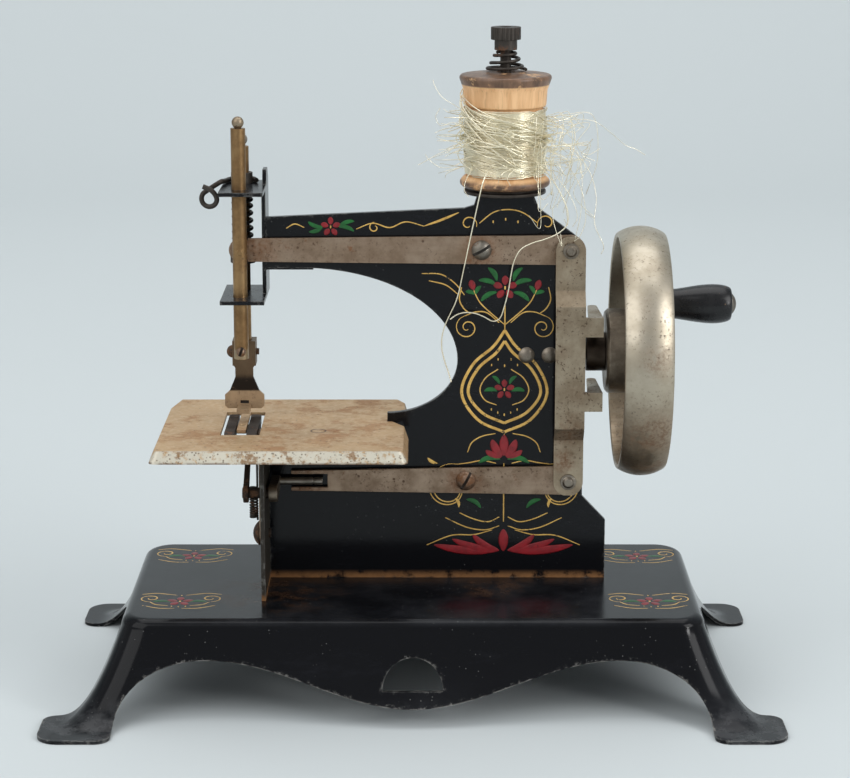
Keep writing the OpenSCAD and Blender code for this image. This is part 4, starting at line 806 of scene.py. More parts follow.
def bevel(bm: Mesh, edges: list[Edge], width: float, steps: int) -> None:
    """Rounds edges by a width in millimetres."""
    bmesh.ops.bevel(bm, geom=edges, offset=width * MM, offset_type="OFFSET", segments=steps, profile=0.5,
                    affect="EDGES", clamp_overlap=True, material=-1)


def shade(piece: Thing, degrees: float = 35.0) -> None:
    """Smooth shading with sharp edges over an angle, and flat faces kept flat."""
    piece.data.shade_smooth()
    piece.data.set_sharp_from_angle(angle=math.radians(degrees))
    piece.modifiers.new("even_normals", "WEIGHTED_NORMAL").keep_sharp = True


def dress(piece: Thing, finish: Finish, body: Union[str, None], *nodes: str) -> Thing:
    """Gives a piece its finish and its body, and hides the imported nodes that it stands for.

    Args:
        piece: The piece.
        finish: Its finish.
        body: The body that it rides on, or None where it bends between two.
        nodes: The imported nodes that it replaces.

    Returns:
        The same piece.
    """
    piece.data.materials.clear()
    piece.data.materials.append(Finishes.get(finish))
    if body:
        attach(piece, body)
    if nodes:
        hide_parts(*nodes)
    log.info("%s in %s", piece.name, finish.name)
    return piece


def body_name(node: str) -> str:
    """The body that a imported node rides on."""
    found = body_of(frame["nodes"][node])
    return found if isinstance(found, str) else found[0]


@dataclass
class Trim:
    """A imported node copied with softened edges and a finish."""

    node: str
    finish: Finish
    edge: float = 0.15
    angle: float = 32.0
    steps: int = 2
    corners: tuple[Flat, ...] = ()
    middle: Flat = (-35.0, 0.0)
    round_off: float = 1.7

    def build(self) -> Thing:
        """Copies the node, merges it, joins its flat faces and bevels its sharp edges.

        Returns:
            The dressed copy.
        """
        bm = bmesh.new()
        bm.from_mesh(frame["nodes"][self.node].data)
        bmesh.ops.remove_doubles(bm, verts=bm.verts[:], dist=0.002 * MM)
        bmesh.ops.dissolve_degenerate(bm, edges=bm.edges[:], dist=0.001 * MM)
        bmesh.ops.dissolve_limit(bm, angle_limit=math.radians(0.6), verts=bm.verts[:], edges=bm.edges[:])
        self.mitre(bm)
        sharp = [e for e in bm.edges if e.is_manifold and e.calc_face_angle(0.0) > math.radians(self.angle)]
        if sharp and self.edge:
            bevel(bm, sharp, self.edge, self.steps)
        bmesh.ops.triangulate(bm, faces=[f for f in bm.faces if len(f.verts) > 4])
        piece = piece_of(f"{self.node}_trim", bm)
        shade(piece)
        return dress(piece, self.finish, body_name(self.node), self.node)

    def mitre(self, bm: Mesh) -> None:
        """Rounds the standing edge farthest from the middle at each stated corner."""
        for x, y in self.corners:
            found = [e for e in bm.edges if abs(e.verts[0].co.z - e.verts[1].co.z) > MM
                     and all(abs(v.co.x - x * MM) < MM and abs(v.co.y - y * MM) < MM for v in e.verts)]
            twice = Vector(self.middle) * 2 * MM
            found.sort(key=lambda e: (e.verts[0].co.xy + e.verts[1].co.xy - twice).length)
            bevel(bm, found[-1:], self.round_off, 3)


# ---------------------------------------------------------------- base


@dataclass
class Base:
    """Pressed sheet base with flared legs, waved skirts and a clamp hole, in millimetres."""

    top_w: float = 158.0
    top_d: float = 75.0
    height: float = 27.0
    toes_w: float = 198.5
    toes_d: float = 117.0
    corner: float = 8.0
    sheet: float = 1.0
    rounding: float = 3.0
    power: float = 2.1
    pad: float = 0.8
    arch_x: float = 55.8
    toe_x: float = 79.8
    toe_y: float = 39.1
    arch_h: float = 16.8
    belly_h: float = 5.3
    end_h: float = 14.0
    clamp_w: float = 16.2
    clamp_z: float = 9.4
    toe_r: float = 4.0
    worn: float = 0.28
    under: float = -2.0
    toe_cut: float = 5.0
    slack: float = 0.02
    quarters: tuple[tuple[int, int], ...] = ((1, 1), (-1, 1), (-1, -1), (1, -1))

    def ring(self, inset: float, flare: float, z: float) -> list[Vector]:
        """Points of one level of the wall.

        Args:
            inset: How far the ring stands inside the top's outline.
            flare: Share of the flare that it stands outside it.
            z: Its height.

        Returns:
            Points of a rounded rectangle, in metres.
        """
        a = self.top_w / 2 - inset + flare * (self.toes_w - self.top_w) / 2
        b = self.top_d / 2 - inset + flare * (self.toes_d - self.top_d) / 2
        r = self.corner - 0.8 * inset - 2 * flare

        def arc(quarter: int, share: float) -> Vector:
            """A point on one corner's quarter turn."""
            t = math.radians(90 * (quarter + share))
            sx, sy = self.quarters[quarter % 4]
            return Vector((sx * (a - r) + r * math.cos(t), sy * (b - r) + r * math.sin(t), z))

        points: list[Vector] = []
        for quarter in range(4):
            points.extend(arc(quarter, k / 12) for k in range(13))
            along = (40, 18)[quarter % 2]
            start, end = points[-1], arc(quarter + 1, 0)
            points.extend(start.lerp(end, k / along) for k in range(1, along))
        return [p * MM for p in points]

    def levels(self) -> list[list[Vector]]:
        """Rings from the edge of the top down to the toes."""
        drop = self.height - self.rounding - self.sheet
        turns = [math.radians(90 * k / 6) for k in range(7)]
        rings = [self.ring(self.rounding * (1 - math.sin(t)), 0, self.height - self.rounding * (1 - math.cos(t)))
                 for t in turns]
        for k in range(1, 25):
            u = k / 24
            rings.append(self.ring(0, self.pad * u, self.sheet + drop * (1 - u) ** self.power))
        rings.extend(self.ring(0, self.pad + (1 - self.pad) * k / 4, self.sheet) for k in range(1, 5))
        return rings

    def wall(self) -> Thing:
        """Extrudes the rings into an open shell without thickness."""
        rings = self.levels()
        bm = bmesh.new()
        verts = [bm.verts.new(p) for p in rings[0]]
        first = edges = [bm.edges.new((a, b)) for a, b in zip(verts, verts[1:] + verts[:1])]
        for points in rings[1:]:
            at = {tuple(v.co): i for i, v in enumerate(verts)}
            fresh, edges = grow(bm, edges)
            verts = sorted(fresh, key=lambda v: at[tuple(v.co)])
            for v, p in zip(verts, points):
                v.co = p
        bmesh.ops.contextual_create(bm, geom=first)
        bmesh.ops.recalc_face_normals(bm, faces=bm.faces[:])
        return piece_of("base_wall", bm)

    @staticmethod
    def cutter(name: str, outline: Sequence[Flat], way: Vector, low: float, high: float) -> Thing:
        """A prism that cuts the skirts.

        Args:
            name: The prism's name.
            outline: Its outline, across and up.
            way: The direction that it runs in, X or Y.
            low: Where it begins.
            high: Where it ends.

        Returns:
            The prism, in the scene until the cut is made.
        """
        bm = bmesh.new()
        side = Vector((1, 0, 0)) if way.y else Vector((0, 1, 0))
        prism(bm, [(side * u + way * low + up(v)) * MM for u, v in outline], way * (high - low) * MM)
        return piece_of(name, bm)

    @staticmethod
    def arch(wide: float, tall: float, foot: float, steps: int) -> list[Flat]:
        """Upper half of an ellipse that stands at a height."""
        turns = [math.pi * k / steps for k in range(steps + 1)]
        return [(wide * math.cos(t), foot + tall * math.sin(t)) for t in turns]

    def cutters(self) -> list[Thing]:
        """Prisms of the toes' corners, the skirts' waves, the end arches and the clamp hole.

        The toes come first, since their cut needs the shell still closed.
        """
        middle, swing = (self.arch_h + self.belly_h) / 2, (self.arch_h - self.belly_h) / 2
        half = [(self.arch_x * k / 40, middle - swing * math.cos(math.pi * k / 40)) for k in range(41)]
        half += [(self.arch_x + (self.toe_x - self.arch_x) * math.sin(math.pi * k / 48),
                  self.arch_h * math.cos(math.pi * k / 48)) for k in range(1, 25)]
        wave = half + [(self.toe_x, self.under), (-self.toe_x, self.under)] + [(-u, v) for u, v in half[:0:-1]]
        end = self.arch(self.toe_y, self.end_h, 0.0, 48) + [(-self.toe_y, self.under), (self.toe_y, self.under)]
        moon = self.arch(self.clamp_w / 2, self.clamp_w / 2, self.clamp_z, 32)
        across, back = Vector((1, 0, 0)), Vector((0, 1, 0))
        return [self.toe_rounds(), self.cutter("wave_cut", wave, back, -80, 80),
                self.cutter("end_cut", end, across, -120, 120), self.cutter("clamp_cut", moon, back, -62, -20)]

    def toe_rounds(self) -> Thing:
        """Prisms that round the free corners of the toes, from 1 mm outside each corner."""
        bm = bmesh.new()
        signs = [(i, j) for i in (-1, 1) for j in (-1, 1)]
        corners = [(i * self.toe_x, j * self.toes_d / 2, i, -j) for i, j in signs]
        corners += [(i * self.toes_w / 2, j * self.toe_y, -i, j) for i, j in signs]
        turns = [math.pi * k / 24 for k in range(13)]
        r, reach = self.toe_r, self.toe_r + self.slack
        for a, b, c, d in corners:
            outline = [(a - c, b + d * r), (a - c, b - d), (a + c * r, b - d)]
            outline += [(a + c * (r - reach * math.sin(t)), b + d * (r - reach * math.cos(t))) for t in turns]
            prism(bm, [(x * MM, y * MM, self.under * MM) for x, y in outline], up(self.toe_cut * MM))
        return piece_of("toe_cut", bm)

    def build(self) -> None:
        """Makes the shell, thickens and cuts it, and softens its edges."""
        wall = self.wall()
        thick = wall.modifiers.new("sheet", "SOLIDIFY")
        thick.thickness = self.sheet * MM
        thick.offset = -1.0
        prisms = self.cutters()
        for cutter in prisms:
            cut = wall.modifiers.new(cutter.name, "BOOLEAN")
            cut.object = cutter
            cut.operation = "DIFFERENCE"
            cut.solver = "EXACT"
        soft = wall.modifiers.new("worn_edges", "BEVEL")
        soft.width = self.worn * MM
        soft.segments = 2
        soft.limit_method = "ANGLE"
        soft.angle_limit = math.radians(40)
        shell = baked("base_shell_fine", wall)
        for cutter in prisms:
            bpy.data.objects.remove(cutter)
        shade(shell, 50)
        dress(shell, Finishes.base, Body.MACHINE.value, "base_shell")


# ---------------------------------------------------------------- thread


@dataclass
class ThreadEnds:
    """Two loose ends of thread that hang from the spool down the front of the column."""

    thick: float = 0.36
    neck: float = 136.0
    left: tuple[Point, ...] = (
        (20.2, -4, 7.4), (19.4, -5.4, 6), (18.6, -6.2, 3.6), (18, -6.2, 1), (17.4, -5.6, -2), (16.6, -4.6, -6),
        (15.8, -3.8, -10), (15, -3.2, -14), (14.2, -2.8, -18), (13.4, -2.4, -22), (12.6, -1.8, -26),
        (11.6, -1, -29.4), (10.2, 0, -32.6), (8.8, 0.8, -36), (8, 1.4, -39.4), (8, 1.8, -43), (8.8, 2, -46.4),
        (9.8, 2, -49.4), (10.6, 1.8, -52.2))
    front: tuple[Point, ...] = (
        (34.4, -1.4, 8.6), (36.4, -2.8, 7), (38.6, -3.8, 4), (40.6, -4.4, 0.4), (42, -4.6, -3.4), (41.8, -4.6, -7),
        (39.4, -4.4, -9.4), (36, -4, -11), (32.4, -3.6, -12.2), (29.4, -3.2, -14), (27.6, -2.8, -17.4),
        (26.8, -2.4, -21.4), (26.2, -1.8, -25.6), (25.2, -1, -30), (24, -0.4, -33.6), (22, 0, -34.6),
        (19.6, 0.2, -33.4), (17, 0.2, -32.4), (14.2, 0.2, -32.2), (12, 0, -32.8), (10.2, -0.4, -34))

    def end(self, name: str, route: Sequence[Point], node: str) -> None:
        """Lays one end along its route as a cord."""
        points = smooth([Vector((x, y, z + self.neck)) * MM for x, y, z in route], 4)
        cord = curve_of(name, [points], [[1.0] * len(points)], self.thick / 2 * MM, 2)
        dress(cord, Finishes.thread, Body.MACHINE.value, node)

    def build(self) -> None:
        """Lays both ends."""
        self.end("thread_end_left", self.left, "thread_tail_left")
        self.end("thread_end_front", self.front, "thread_tail_front")


@dataclass
class Winding:
    """Thread wound on the spool: close turns, crossing turns, short frayed ends and a loose tangle."""

    axis: Vector = field(default_factory=lambda: Vector((25.3, 8.0, 0.0)))
    low: float = 141.6
    high: float = 159.1
    radius: float = 11.05
    strand: float = 0.125
    turns: int = 72
    crossings: int = 40
    frays: int = 110
    seed: int = 11
    strands: int = 28
    front_strands: int = 18
    loops: int = 34
    wood_low: float = 141.2
    wood_high: float = 165.6

    def at(self, angle: float, radius: float, z: float) -> Vector:
        """A point round the spool, in metres."""
        return (self.axis + Vector((radius * math.cos(angle), radius * math.sin(angle), z))) * MM

    def spun(self, name: str, routes: list[list[Vector]], share: float = 1.0) -> Thing:
        """Strands of one even thickness, a share of the usual one, as one piece."""
        return wires(name, routes, [[self.strand * share * MM] * len(r) for r in routes])

    def close_turns(self) -> Thing:
        """The even layer below."""
        steps = self.turns * 40
        rise = self.high - self.low
        return self.spun("thread_turns", [[self.at(2 * math.pi * self.turns * k / steps, self.radius,
                                                   self.low + rise * k / steps) for k in range(steps + 1)]])

    def crossing_turns(self, dice: random.Random) -> Thing:
        """Turns that cross the even layer at a slant, in bunches."""
        routes = []
        for n in range(self.crossings):
            middle = dice.uniform(self.low + 0.6, self.high - 0.6)
            swing = dice.uniform(0.2, 3.2) if n % 4 else dice.uniform(2.5, 6.0)
            phase, span = dice.uniform(0, 2 * math.pi), dice.uniform(2.6, 9.5)
            radius = self.radius + 0.14 + 0.007 * n
            steps = int(span * 9)
            route = []
            for k in range(steps + 1):
                t = span * k / steps
                z = middle + swing * math.sin(t + phase) + 0.12 * math.sin(3.1 * t + n)
                sink = 0.35 * max(0.0, 1 - min(k, steps - k) / 4)
                z = min(self.high + 0.3, max(self.low - 0.3, z))
                route.append(self.at(t + phase * 2.3, radius - sink, z))
            routes.append(route)
        return self.spun("thread_crossings", routes)

    def slanting_strands(self, dice: random.Random) -> Thing:
        """Loose strands that slant over the winding and the bare wood above it, most of them in front."""
        routes, steps = [], 30
        for n in range(self.strands):
            front = n < self.front_strands
            start = dice.uniform(-3.7, -2.95) if front else dice.uniform(0, 2 * math.pi)
            span, bulge = dice.uniform(1.7, 3.3), dice.uniform(0.1, 1.3)
            top, foot = dice.uniform(151, 165.4 if front else 158), dice.uniform(141.8, 152)
            wave, phase = dice.uniform(0.2, 1.2), dice.uniform(0, 2 * math.pi)
            route = []
            for k in range(steps + 1):
                f = k / steps
                sink = 0.7 * max(0.0, 1 - min(k, steps - k) / 3)
                radius = self.radius + 0.6 + 0.03 * n + bulge * math.sin(math.pi * f) - sink
                z = top + (foot - top) * f + wave * math.sin(5 * f + phase)
                route.append(self.at(start + span * f, radius, min(self.wood_high, max(self.wood_low, z))))
            routes.append(route)
        return self.spun("thread_strands", routes, 1.25)

    def frayed_ends(self, dice: random.Random) -> Thing:
        """Short broken ends that stand off the spool."""
        routes, radii = [], []
        for _ in range(self.frays):
            angle, z = dice.uniform(0, 2 * math.pi), dice.uniform(self.low + 1, self.high - 0.5)
            out = Vector((math.cos(angle), math.sin(angle), 0))
            along = Vector((-out.y, out.x, 0)) * dice.choice((-1, 1))
            reach, lift = dice.uniform(2.0, 8.5), dice.uniform(-4.5, 2.5)
            foot = self.axis + out * (self.radius + 0.3) + up(z)
            points = [foot - along * 2.4 - out * 0.25, foot,
                      foot + along * reach * 0.45 + out * reach * 0.22 + up(lift * 0.2),
                      foot + along * reach * 0.8 + out * reach * dice.uniform(0.4, 0.8) + up(lift * 0.6),
                      foot + along * reach * dice.uniform(0.7, 1.1) + out * reach * dice.uniform(0.7, 1.2)
                      + up(lift)]
            route = smooth([p * MM for p in points], 4)
            routes.append(route)
            radii.append([self.strand * MM * (0.9 if k < len(route) - 4 else 0.6) for k in range(len(route))])
        return wires("thread_frays", routes, radii, 0)

    def tangle(self, dice: random.Random) -> Thing:
        """Loose loops and ends beside the spool, which don't turn with it."""
        routes = []
        for _ in range(self.loops):
            z, turn = dice.uniform(143, 158), dice.uniform(-1.1, 0.5)
            out = Vector((math.cos(turn), math.sin(turn), 0))
            foot = self.axis + out * (self.radius + 0.9) + up(z)
            reach, fall = dice.uniform(2.5, 13.0), dice.uniform(2.0, 22.0)
            sway = Vector((dice.uniform(-2.5, 2.5), dice.uniform(-3.5, 3.5), 0))
            bulge = foot + out * reach + up(dice.uniform(-1.0, 2.5)) + sway * 0.4
            hang = foot + out * reach * dice.uniform(0.5, 1.15) - up(fall * 0.55) + sway
            tip = foot + out * reach * dice.uniform(0.2, 1.3) - up(fall) + sway * dice.uniform(0.4, 1.6)
            points = [foot, foot + out * reach * 0.4 + up(0.6), bulge, hang, tip]
            if dice.random() < 0.45:
                points.append(tip + Vector((dice.uniform(-4, 4), dice.uniform(-3, 1), dice.uniform(1, 5))))
            routes.append(smooth([p * MM for p in points], 6))
        routes.extend(smooth([Vector(p) * MM for p in points], 7) for points in self.long_ends())
        return self.spun("thread_tangle", routes, 0.68)

    @staticmethod
    def long_ends() -> list[list[Point]]:
        """Routes of the longest loose strands."""
        return [
            [(36.4, 4, 156), (42, 1, 157), (49, 2, 156.5), (54, 4, 153), (58, 6, 149.5), (61, 7, 148.2),
             (63.8, 8, 146.4)],
            [(37, 6, 151), (43, 4, 149), (48, 2, 143), (50, 0, 136), (49.5, -2, 129), (52, -2.4, 123),
             (51.4, -2.6, 120.6)],
            [(36, 2, 149), (41, -1, 146), (45.5, -3, 139), (47, -3.4, 131), (45.6, -3.6, 126), (44, -3.6, 124.4)],
            [(14.8, 3, 150), (10, 0, 149), (6, -1, 147.4), (2.6, -2, 145.6), (1.4, -2, 145)],
            [(15.4, 2, 146.5), (11, 0, 144.4), (7.4, -0.6, 144.2), (4.4, -1.4, 146.4), (3.4, -1.6, 147.8)],
            [(15.2, 4, 158), (11.4, 3, 160.6), (8, 5, 162.6), (6, 7, 165.4), (5.5, 8, 167)],
            [(15, 4, 154), (11, 2, 156), (7.6, 2, 155.2), (6.2, 2, 157.6), (7.4, 2, 160)],
            [(16.5, 0, 144), (14.4, -3, 141), (14, -4, 138.4), (15.2, -4.4, 136.6)],
            [(33, -1, 146), (38, -4, 143), (42.6, -5, 137), (44.6, -5.2, 131.6), (43.4, -5.2, 128.6)],
        ]

    def build(self) -> None:
        """Makes the five pieces of thread."""
        dice = random.Random(self.seed)
        dress(self.close_turns(), Finishes.thread, Body.REEL.value, "thread_winding", "thread_core")
        for make in (self.crossing_turns, self.slanting_strands, self.frayed_ends):
            dress(make(dice), Finishes.thread, Body.REEL.value)
        dress(self.tangle(dice), Finishes.thread, Body.MACHINE.value)


# ---------------------------------------------------------------- springs and bent wire


@dataclass
class WireWork:
    """Springs and the bent thread guide, as round wire, in millimetres."""

    pin: Flat = (25.3, 8.0)
    cone_low: float = 169.4
    cone_high: float = 175.0
    presser: Flat = (-47.3, 10.0)
    presser_low: float = 118.65
    presser_high: float = 137.15
    feed: Flat = (-44.45, -3.0)
    feed_foot: float = 45.4
    feed_coil: Flat = (46.0, 55.0)
    feed_stem: tuple[float, ...] = (56, 60, 65, 69.8)
    thick: float = 0.9
    feed_thick: float = 0.6
    guide_thick: float = 1.4
    guide: tuple[Point, ...] = (
        (-43.3, 10, 139.12), (-44.24, 12.57, 139.12), (-46.6, 13.94, 139.12), (-49.3, 13.46, 139.12),
        (-51.06, 11.37, 139.12), (-51.3, 10, 139.12), (-52.1, 7.4, 139.22), (-52.9, 5, 139.3), (-56.44, 3, 137.22),
        (-57.56, 2.66, 136.28), (-57.82, 2.31, 134.83), (-57.08, 1.97, 133.55), (-55.7, 1.63, 133.05),
        (-54.32, 1.29, 133.55), (-53.58, 0.94, 134.83), (-53.84, 0.6, 136.28), (-55.1, 0.4, 137.8),
        (-57.3, 0.4, 138.8))

    @staticmethod
    def coil(centre: Flat, wide: float, narrow: float, low: float, high: float, turns: float) -> list[Vector]:
        """Points of a coil about an upright axis, closed up at both ends.

        Args:
            centre: X and Y of the axis.
            wide: Radius of the wire's middle at the low end.
            narrow: The same at the high end.
            low: Height of the first turn.
            high: Height of the last turn.
            turns: Number of turns.

        Returns:
            The wire's points, in metres.
        """
        steps = int(turns * 32)
        points = []
        for k in range(steps + 1):
            f = k / steps
            z = low + (high - low) * (f - 0.35 * math.sin(2 * math.pi * f) / turns)
            r, t = wide + (narrow - wide) * f, 2 * math.pi * turns * f
            points.append(Vector((centre[0] + r * math.cos(t), centre[1] + r * math.sin(t), z)) * MM)
        return points

    @staticmethod
    def wire(name: str, route: list[Vector], thick: float) -> Thing:
        """One wire of even thickness."""
        return wires(name, [route], [[thick / 2 * MM] * len(route)], 3)

    def build(self) -> None:
        """Makes the three springs and the guide."""
        half = self.thick / 2
        cone = self.coil(self.pin, 5.5, 2.25, self.cone_low + half, self.cone_high - half, 3.5)
        dress(self.wire("spool_cone_spring", cone, self.thick), Finishes.iron, Body.MACHINE.value, "spool_spring")
        press = self.coil(self.presser, 2.6, 2.6, self.presser_low + half, self.presser_high - half, 10)
        spring = dress(self.wire("presser_coil_spring", press, self.thick), Finishes.iron, None, "presser_spring")
        top, foot = ([c * MM for c in (*self.presser, z)] for z in (self.presser_high, self.presser_low))
        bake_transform(spring, Body.MACHINE.value, Body.PRESSER.value, start=top, end=foot)
        x, y = self.feed
        lift = self.coil(self.feed, 1.0, 1.0, *self.feed_coil, 13)
        stem = [Vector((x + 1, y, z)) * MM for z in (self.feed_foot, *self.feed_stem)]
        lift = [stem[0], *lift, *stem[1:]]
        dress(self.wire("feed_return_spring", lift, self.feed_thick), Finishes.iron, body_name("feed_spring"),
              "feed_spring")
        bend = smooth([Vector(p) * MM for p in self.guide], 8)
        dress(self.wire("thread_guide_wire", bend, self.guide_thick), Finishes.iron, Body.MACHINE.value,
              "thread_guide")


# ---------------------------------------------------------------- painted ornament


class Ground(Enum):
    """Faces that carry painted ornament."""

    PLATE = "plate"
    TOP = "top"


Route = tuple[Flat, ...]
Scroll = tuple[Flat, float, float, float, float]
Petal = tuple[Flat, float, float, float, float]


@dataclass(frozen=True)
class Spray:
    """A group of strokes measured from one origin, in millimetres and degrees.

    A line has its taper and route, a scroll its centre, start, turn, first and last radius, and a petal its
    root, angle, length, width and bend.
    """

    lines: tuple[tuple[float, Route], ...] = ()
    scrolls: tuple[Scroll, ...] = ()
    gold: tuple[Petal, ...] = ()
    red: tuple[Petal, ...] = ()
    green: tuple[Petal, ...] = ()


class Brush:
    """Collects tapered brush strokes on one face and makes them thin raised paint."""

    def __init__(self, ground: Ground, level: float) -> None:
        """Starts on a face at a depth or height in millimetres."""
        self.ground, self.level = ground, level
        self.origin: Flat = (0.0, 0.0)
        self.side = 1
        self.routes: list[list[Vector]] = []
        self.radii: list[list[float]] = []

    def spot(self, u: float, v: float) -> Vector:
        """A point of the face, in metres, from its place beside the origin."""
        across, along = self.origin[0] + self.side * u, self.origin[1] + v
        on_plate = self.ground is Ground.PLATE
        return Vector((across, self.level, along) if on_plate else (across, along, self.level)) * MM

    def stroke(self, points: Sequence[Flat], width: float, taper: float, steps: int = 7) -> None:
        """One stroke that swells in the middle.

        Args:
            points: Its route on the face.
            width: Its greatest width.
            taper: Share of that width at its ends.
            steps: Points made for each stretch.
        """
        route = smooth([self.spot(*p) for p in points], steps)
        last = len(route) - 1
        swell = [taper + (1 - taper) * math.sin(math.pi * k / last) ** 0.7 for k in range(last + 1)]
        self.routes.append(route)
        self.radii.append([width / 2 * MM * share for share in swell])

    def scroll(self, centre: Flat, start: float, turn: float, wide: float, narrow: float, width: float) -> None:
        """A spiral about a centre, from a starting angle through a turn, both in degrees."""
        steps = max(6, int(abs(turn) / 24))
        points = []
        for k in range(steps + 1):
            t, r = math.radians(start + turn * k / steps), wide + (narrow - wide) * k / steps
            points.append((centre[0] + r * math.cos(t), centre[1] + r * math.sin(t)))
        self.stroke(points, width, 0.4, 3)

    def petal(self, root: Flat, angle: float, length: float, width: float, bend: float = 0.0) -> None:
        """A leaf or petal from its root at an angle in degrees."""
        t = math.radians(angle)
        d, n = (math.cos(t), math.sin(t)), (-math.sin(t), math.cos(t))
        points = [tuple(root[i] + d[i] * length * f + n[i] * bend * math.sin(math.pi * f) for i in (0, 1))
                  for f in (0, 0.35, 0.7, 1)]
        self.stroke(points, width, 0.12, 5)

    def dots(self, places: Sequence[Flat], size: float) -> None:
        """Round dots."""
        for u, v in places:
            self.stroke([(u - size * 0.22, v), (u, v), (u + size * 0.22, v)], size, 0.75, 3)

    def build(self, name: str, finish: Finish) -> None:
        """Makes the strokes one flat piece on the machine."""
        piece = wires(name, self.routes, self.radii, 2)
        keep = 0.06
        normal = Vector((0, 1, 0)) if self.ground is Ground.PLATE else up(1)
        shift = normal * self.level * MM
        piece.data.transform(Matrix.Translation(shift) @ Matrix.Scale(keep, 4, normal) @ Matrix.Translation(-shift))
        dress(piece, finish, Body.MACHINE.value)


class Palette:
    """Gold, red and green brushes on one face."""

    def __init__(self, ground: Ground, level: float) -> None:
        """Starts three brushes on a face at a depth or height in millimetres."""
        self.gold, self.red, self.green = (Brush(ground, level) for _ in range(3))

    def move(self, origin: Flat, side: int = 1) -> None:
        """Sets the origin of the strokes that follow, and -1 as the side to mirror them."""
        for brush in (self.gold, self.red, self.green):
            brush.origin, brush.side = origin, side

    def draw(self, spray: Spray, width: float) -> None:
        """Draws a spray, its lines and scrolls in gold of one width."""
        for taper, route in spray.lines:
            self.gold.stroke(route, width, taper)
        for scroll in spray.scrolls:
            self.gold.scroll(*scroll, width)
        for brush, petals in ((self.gold, spray.gold), (self.red, spray.red), (self.green, spray.green)):
            for petal in petals:
                brush.petal(*petal)

    def rosette(self, centre: Flat, size: float) -> None:
        """A five-petalled flower with a gold heart."""
        for k in range(5):
            t = math.radians(90 + 72 * k)
            root = (centre[0] + 0.32 * size * math.cos(t), centre[1] + 0.32 * size * math.sin(t))
            self.red.petal(root, 90 + 72 * k, size * 1.05, size * 0.78)
        self.gold.dots([centre], size * 0.42)

    def build(self, gold: str, red: str, green: str) -> None:
        """Makes a piece of each brush's strokes, under these names."""
        self.gold.build(gold, Finishes.gold)
        self.red.build(red, Finishes.red)
        self.green.build(green, Finishes.green)


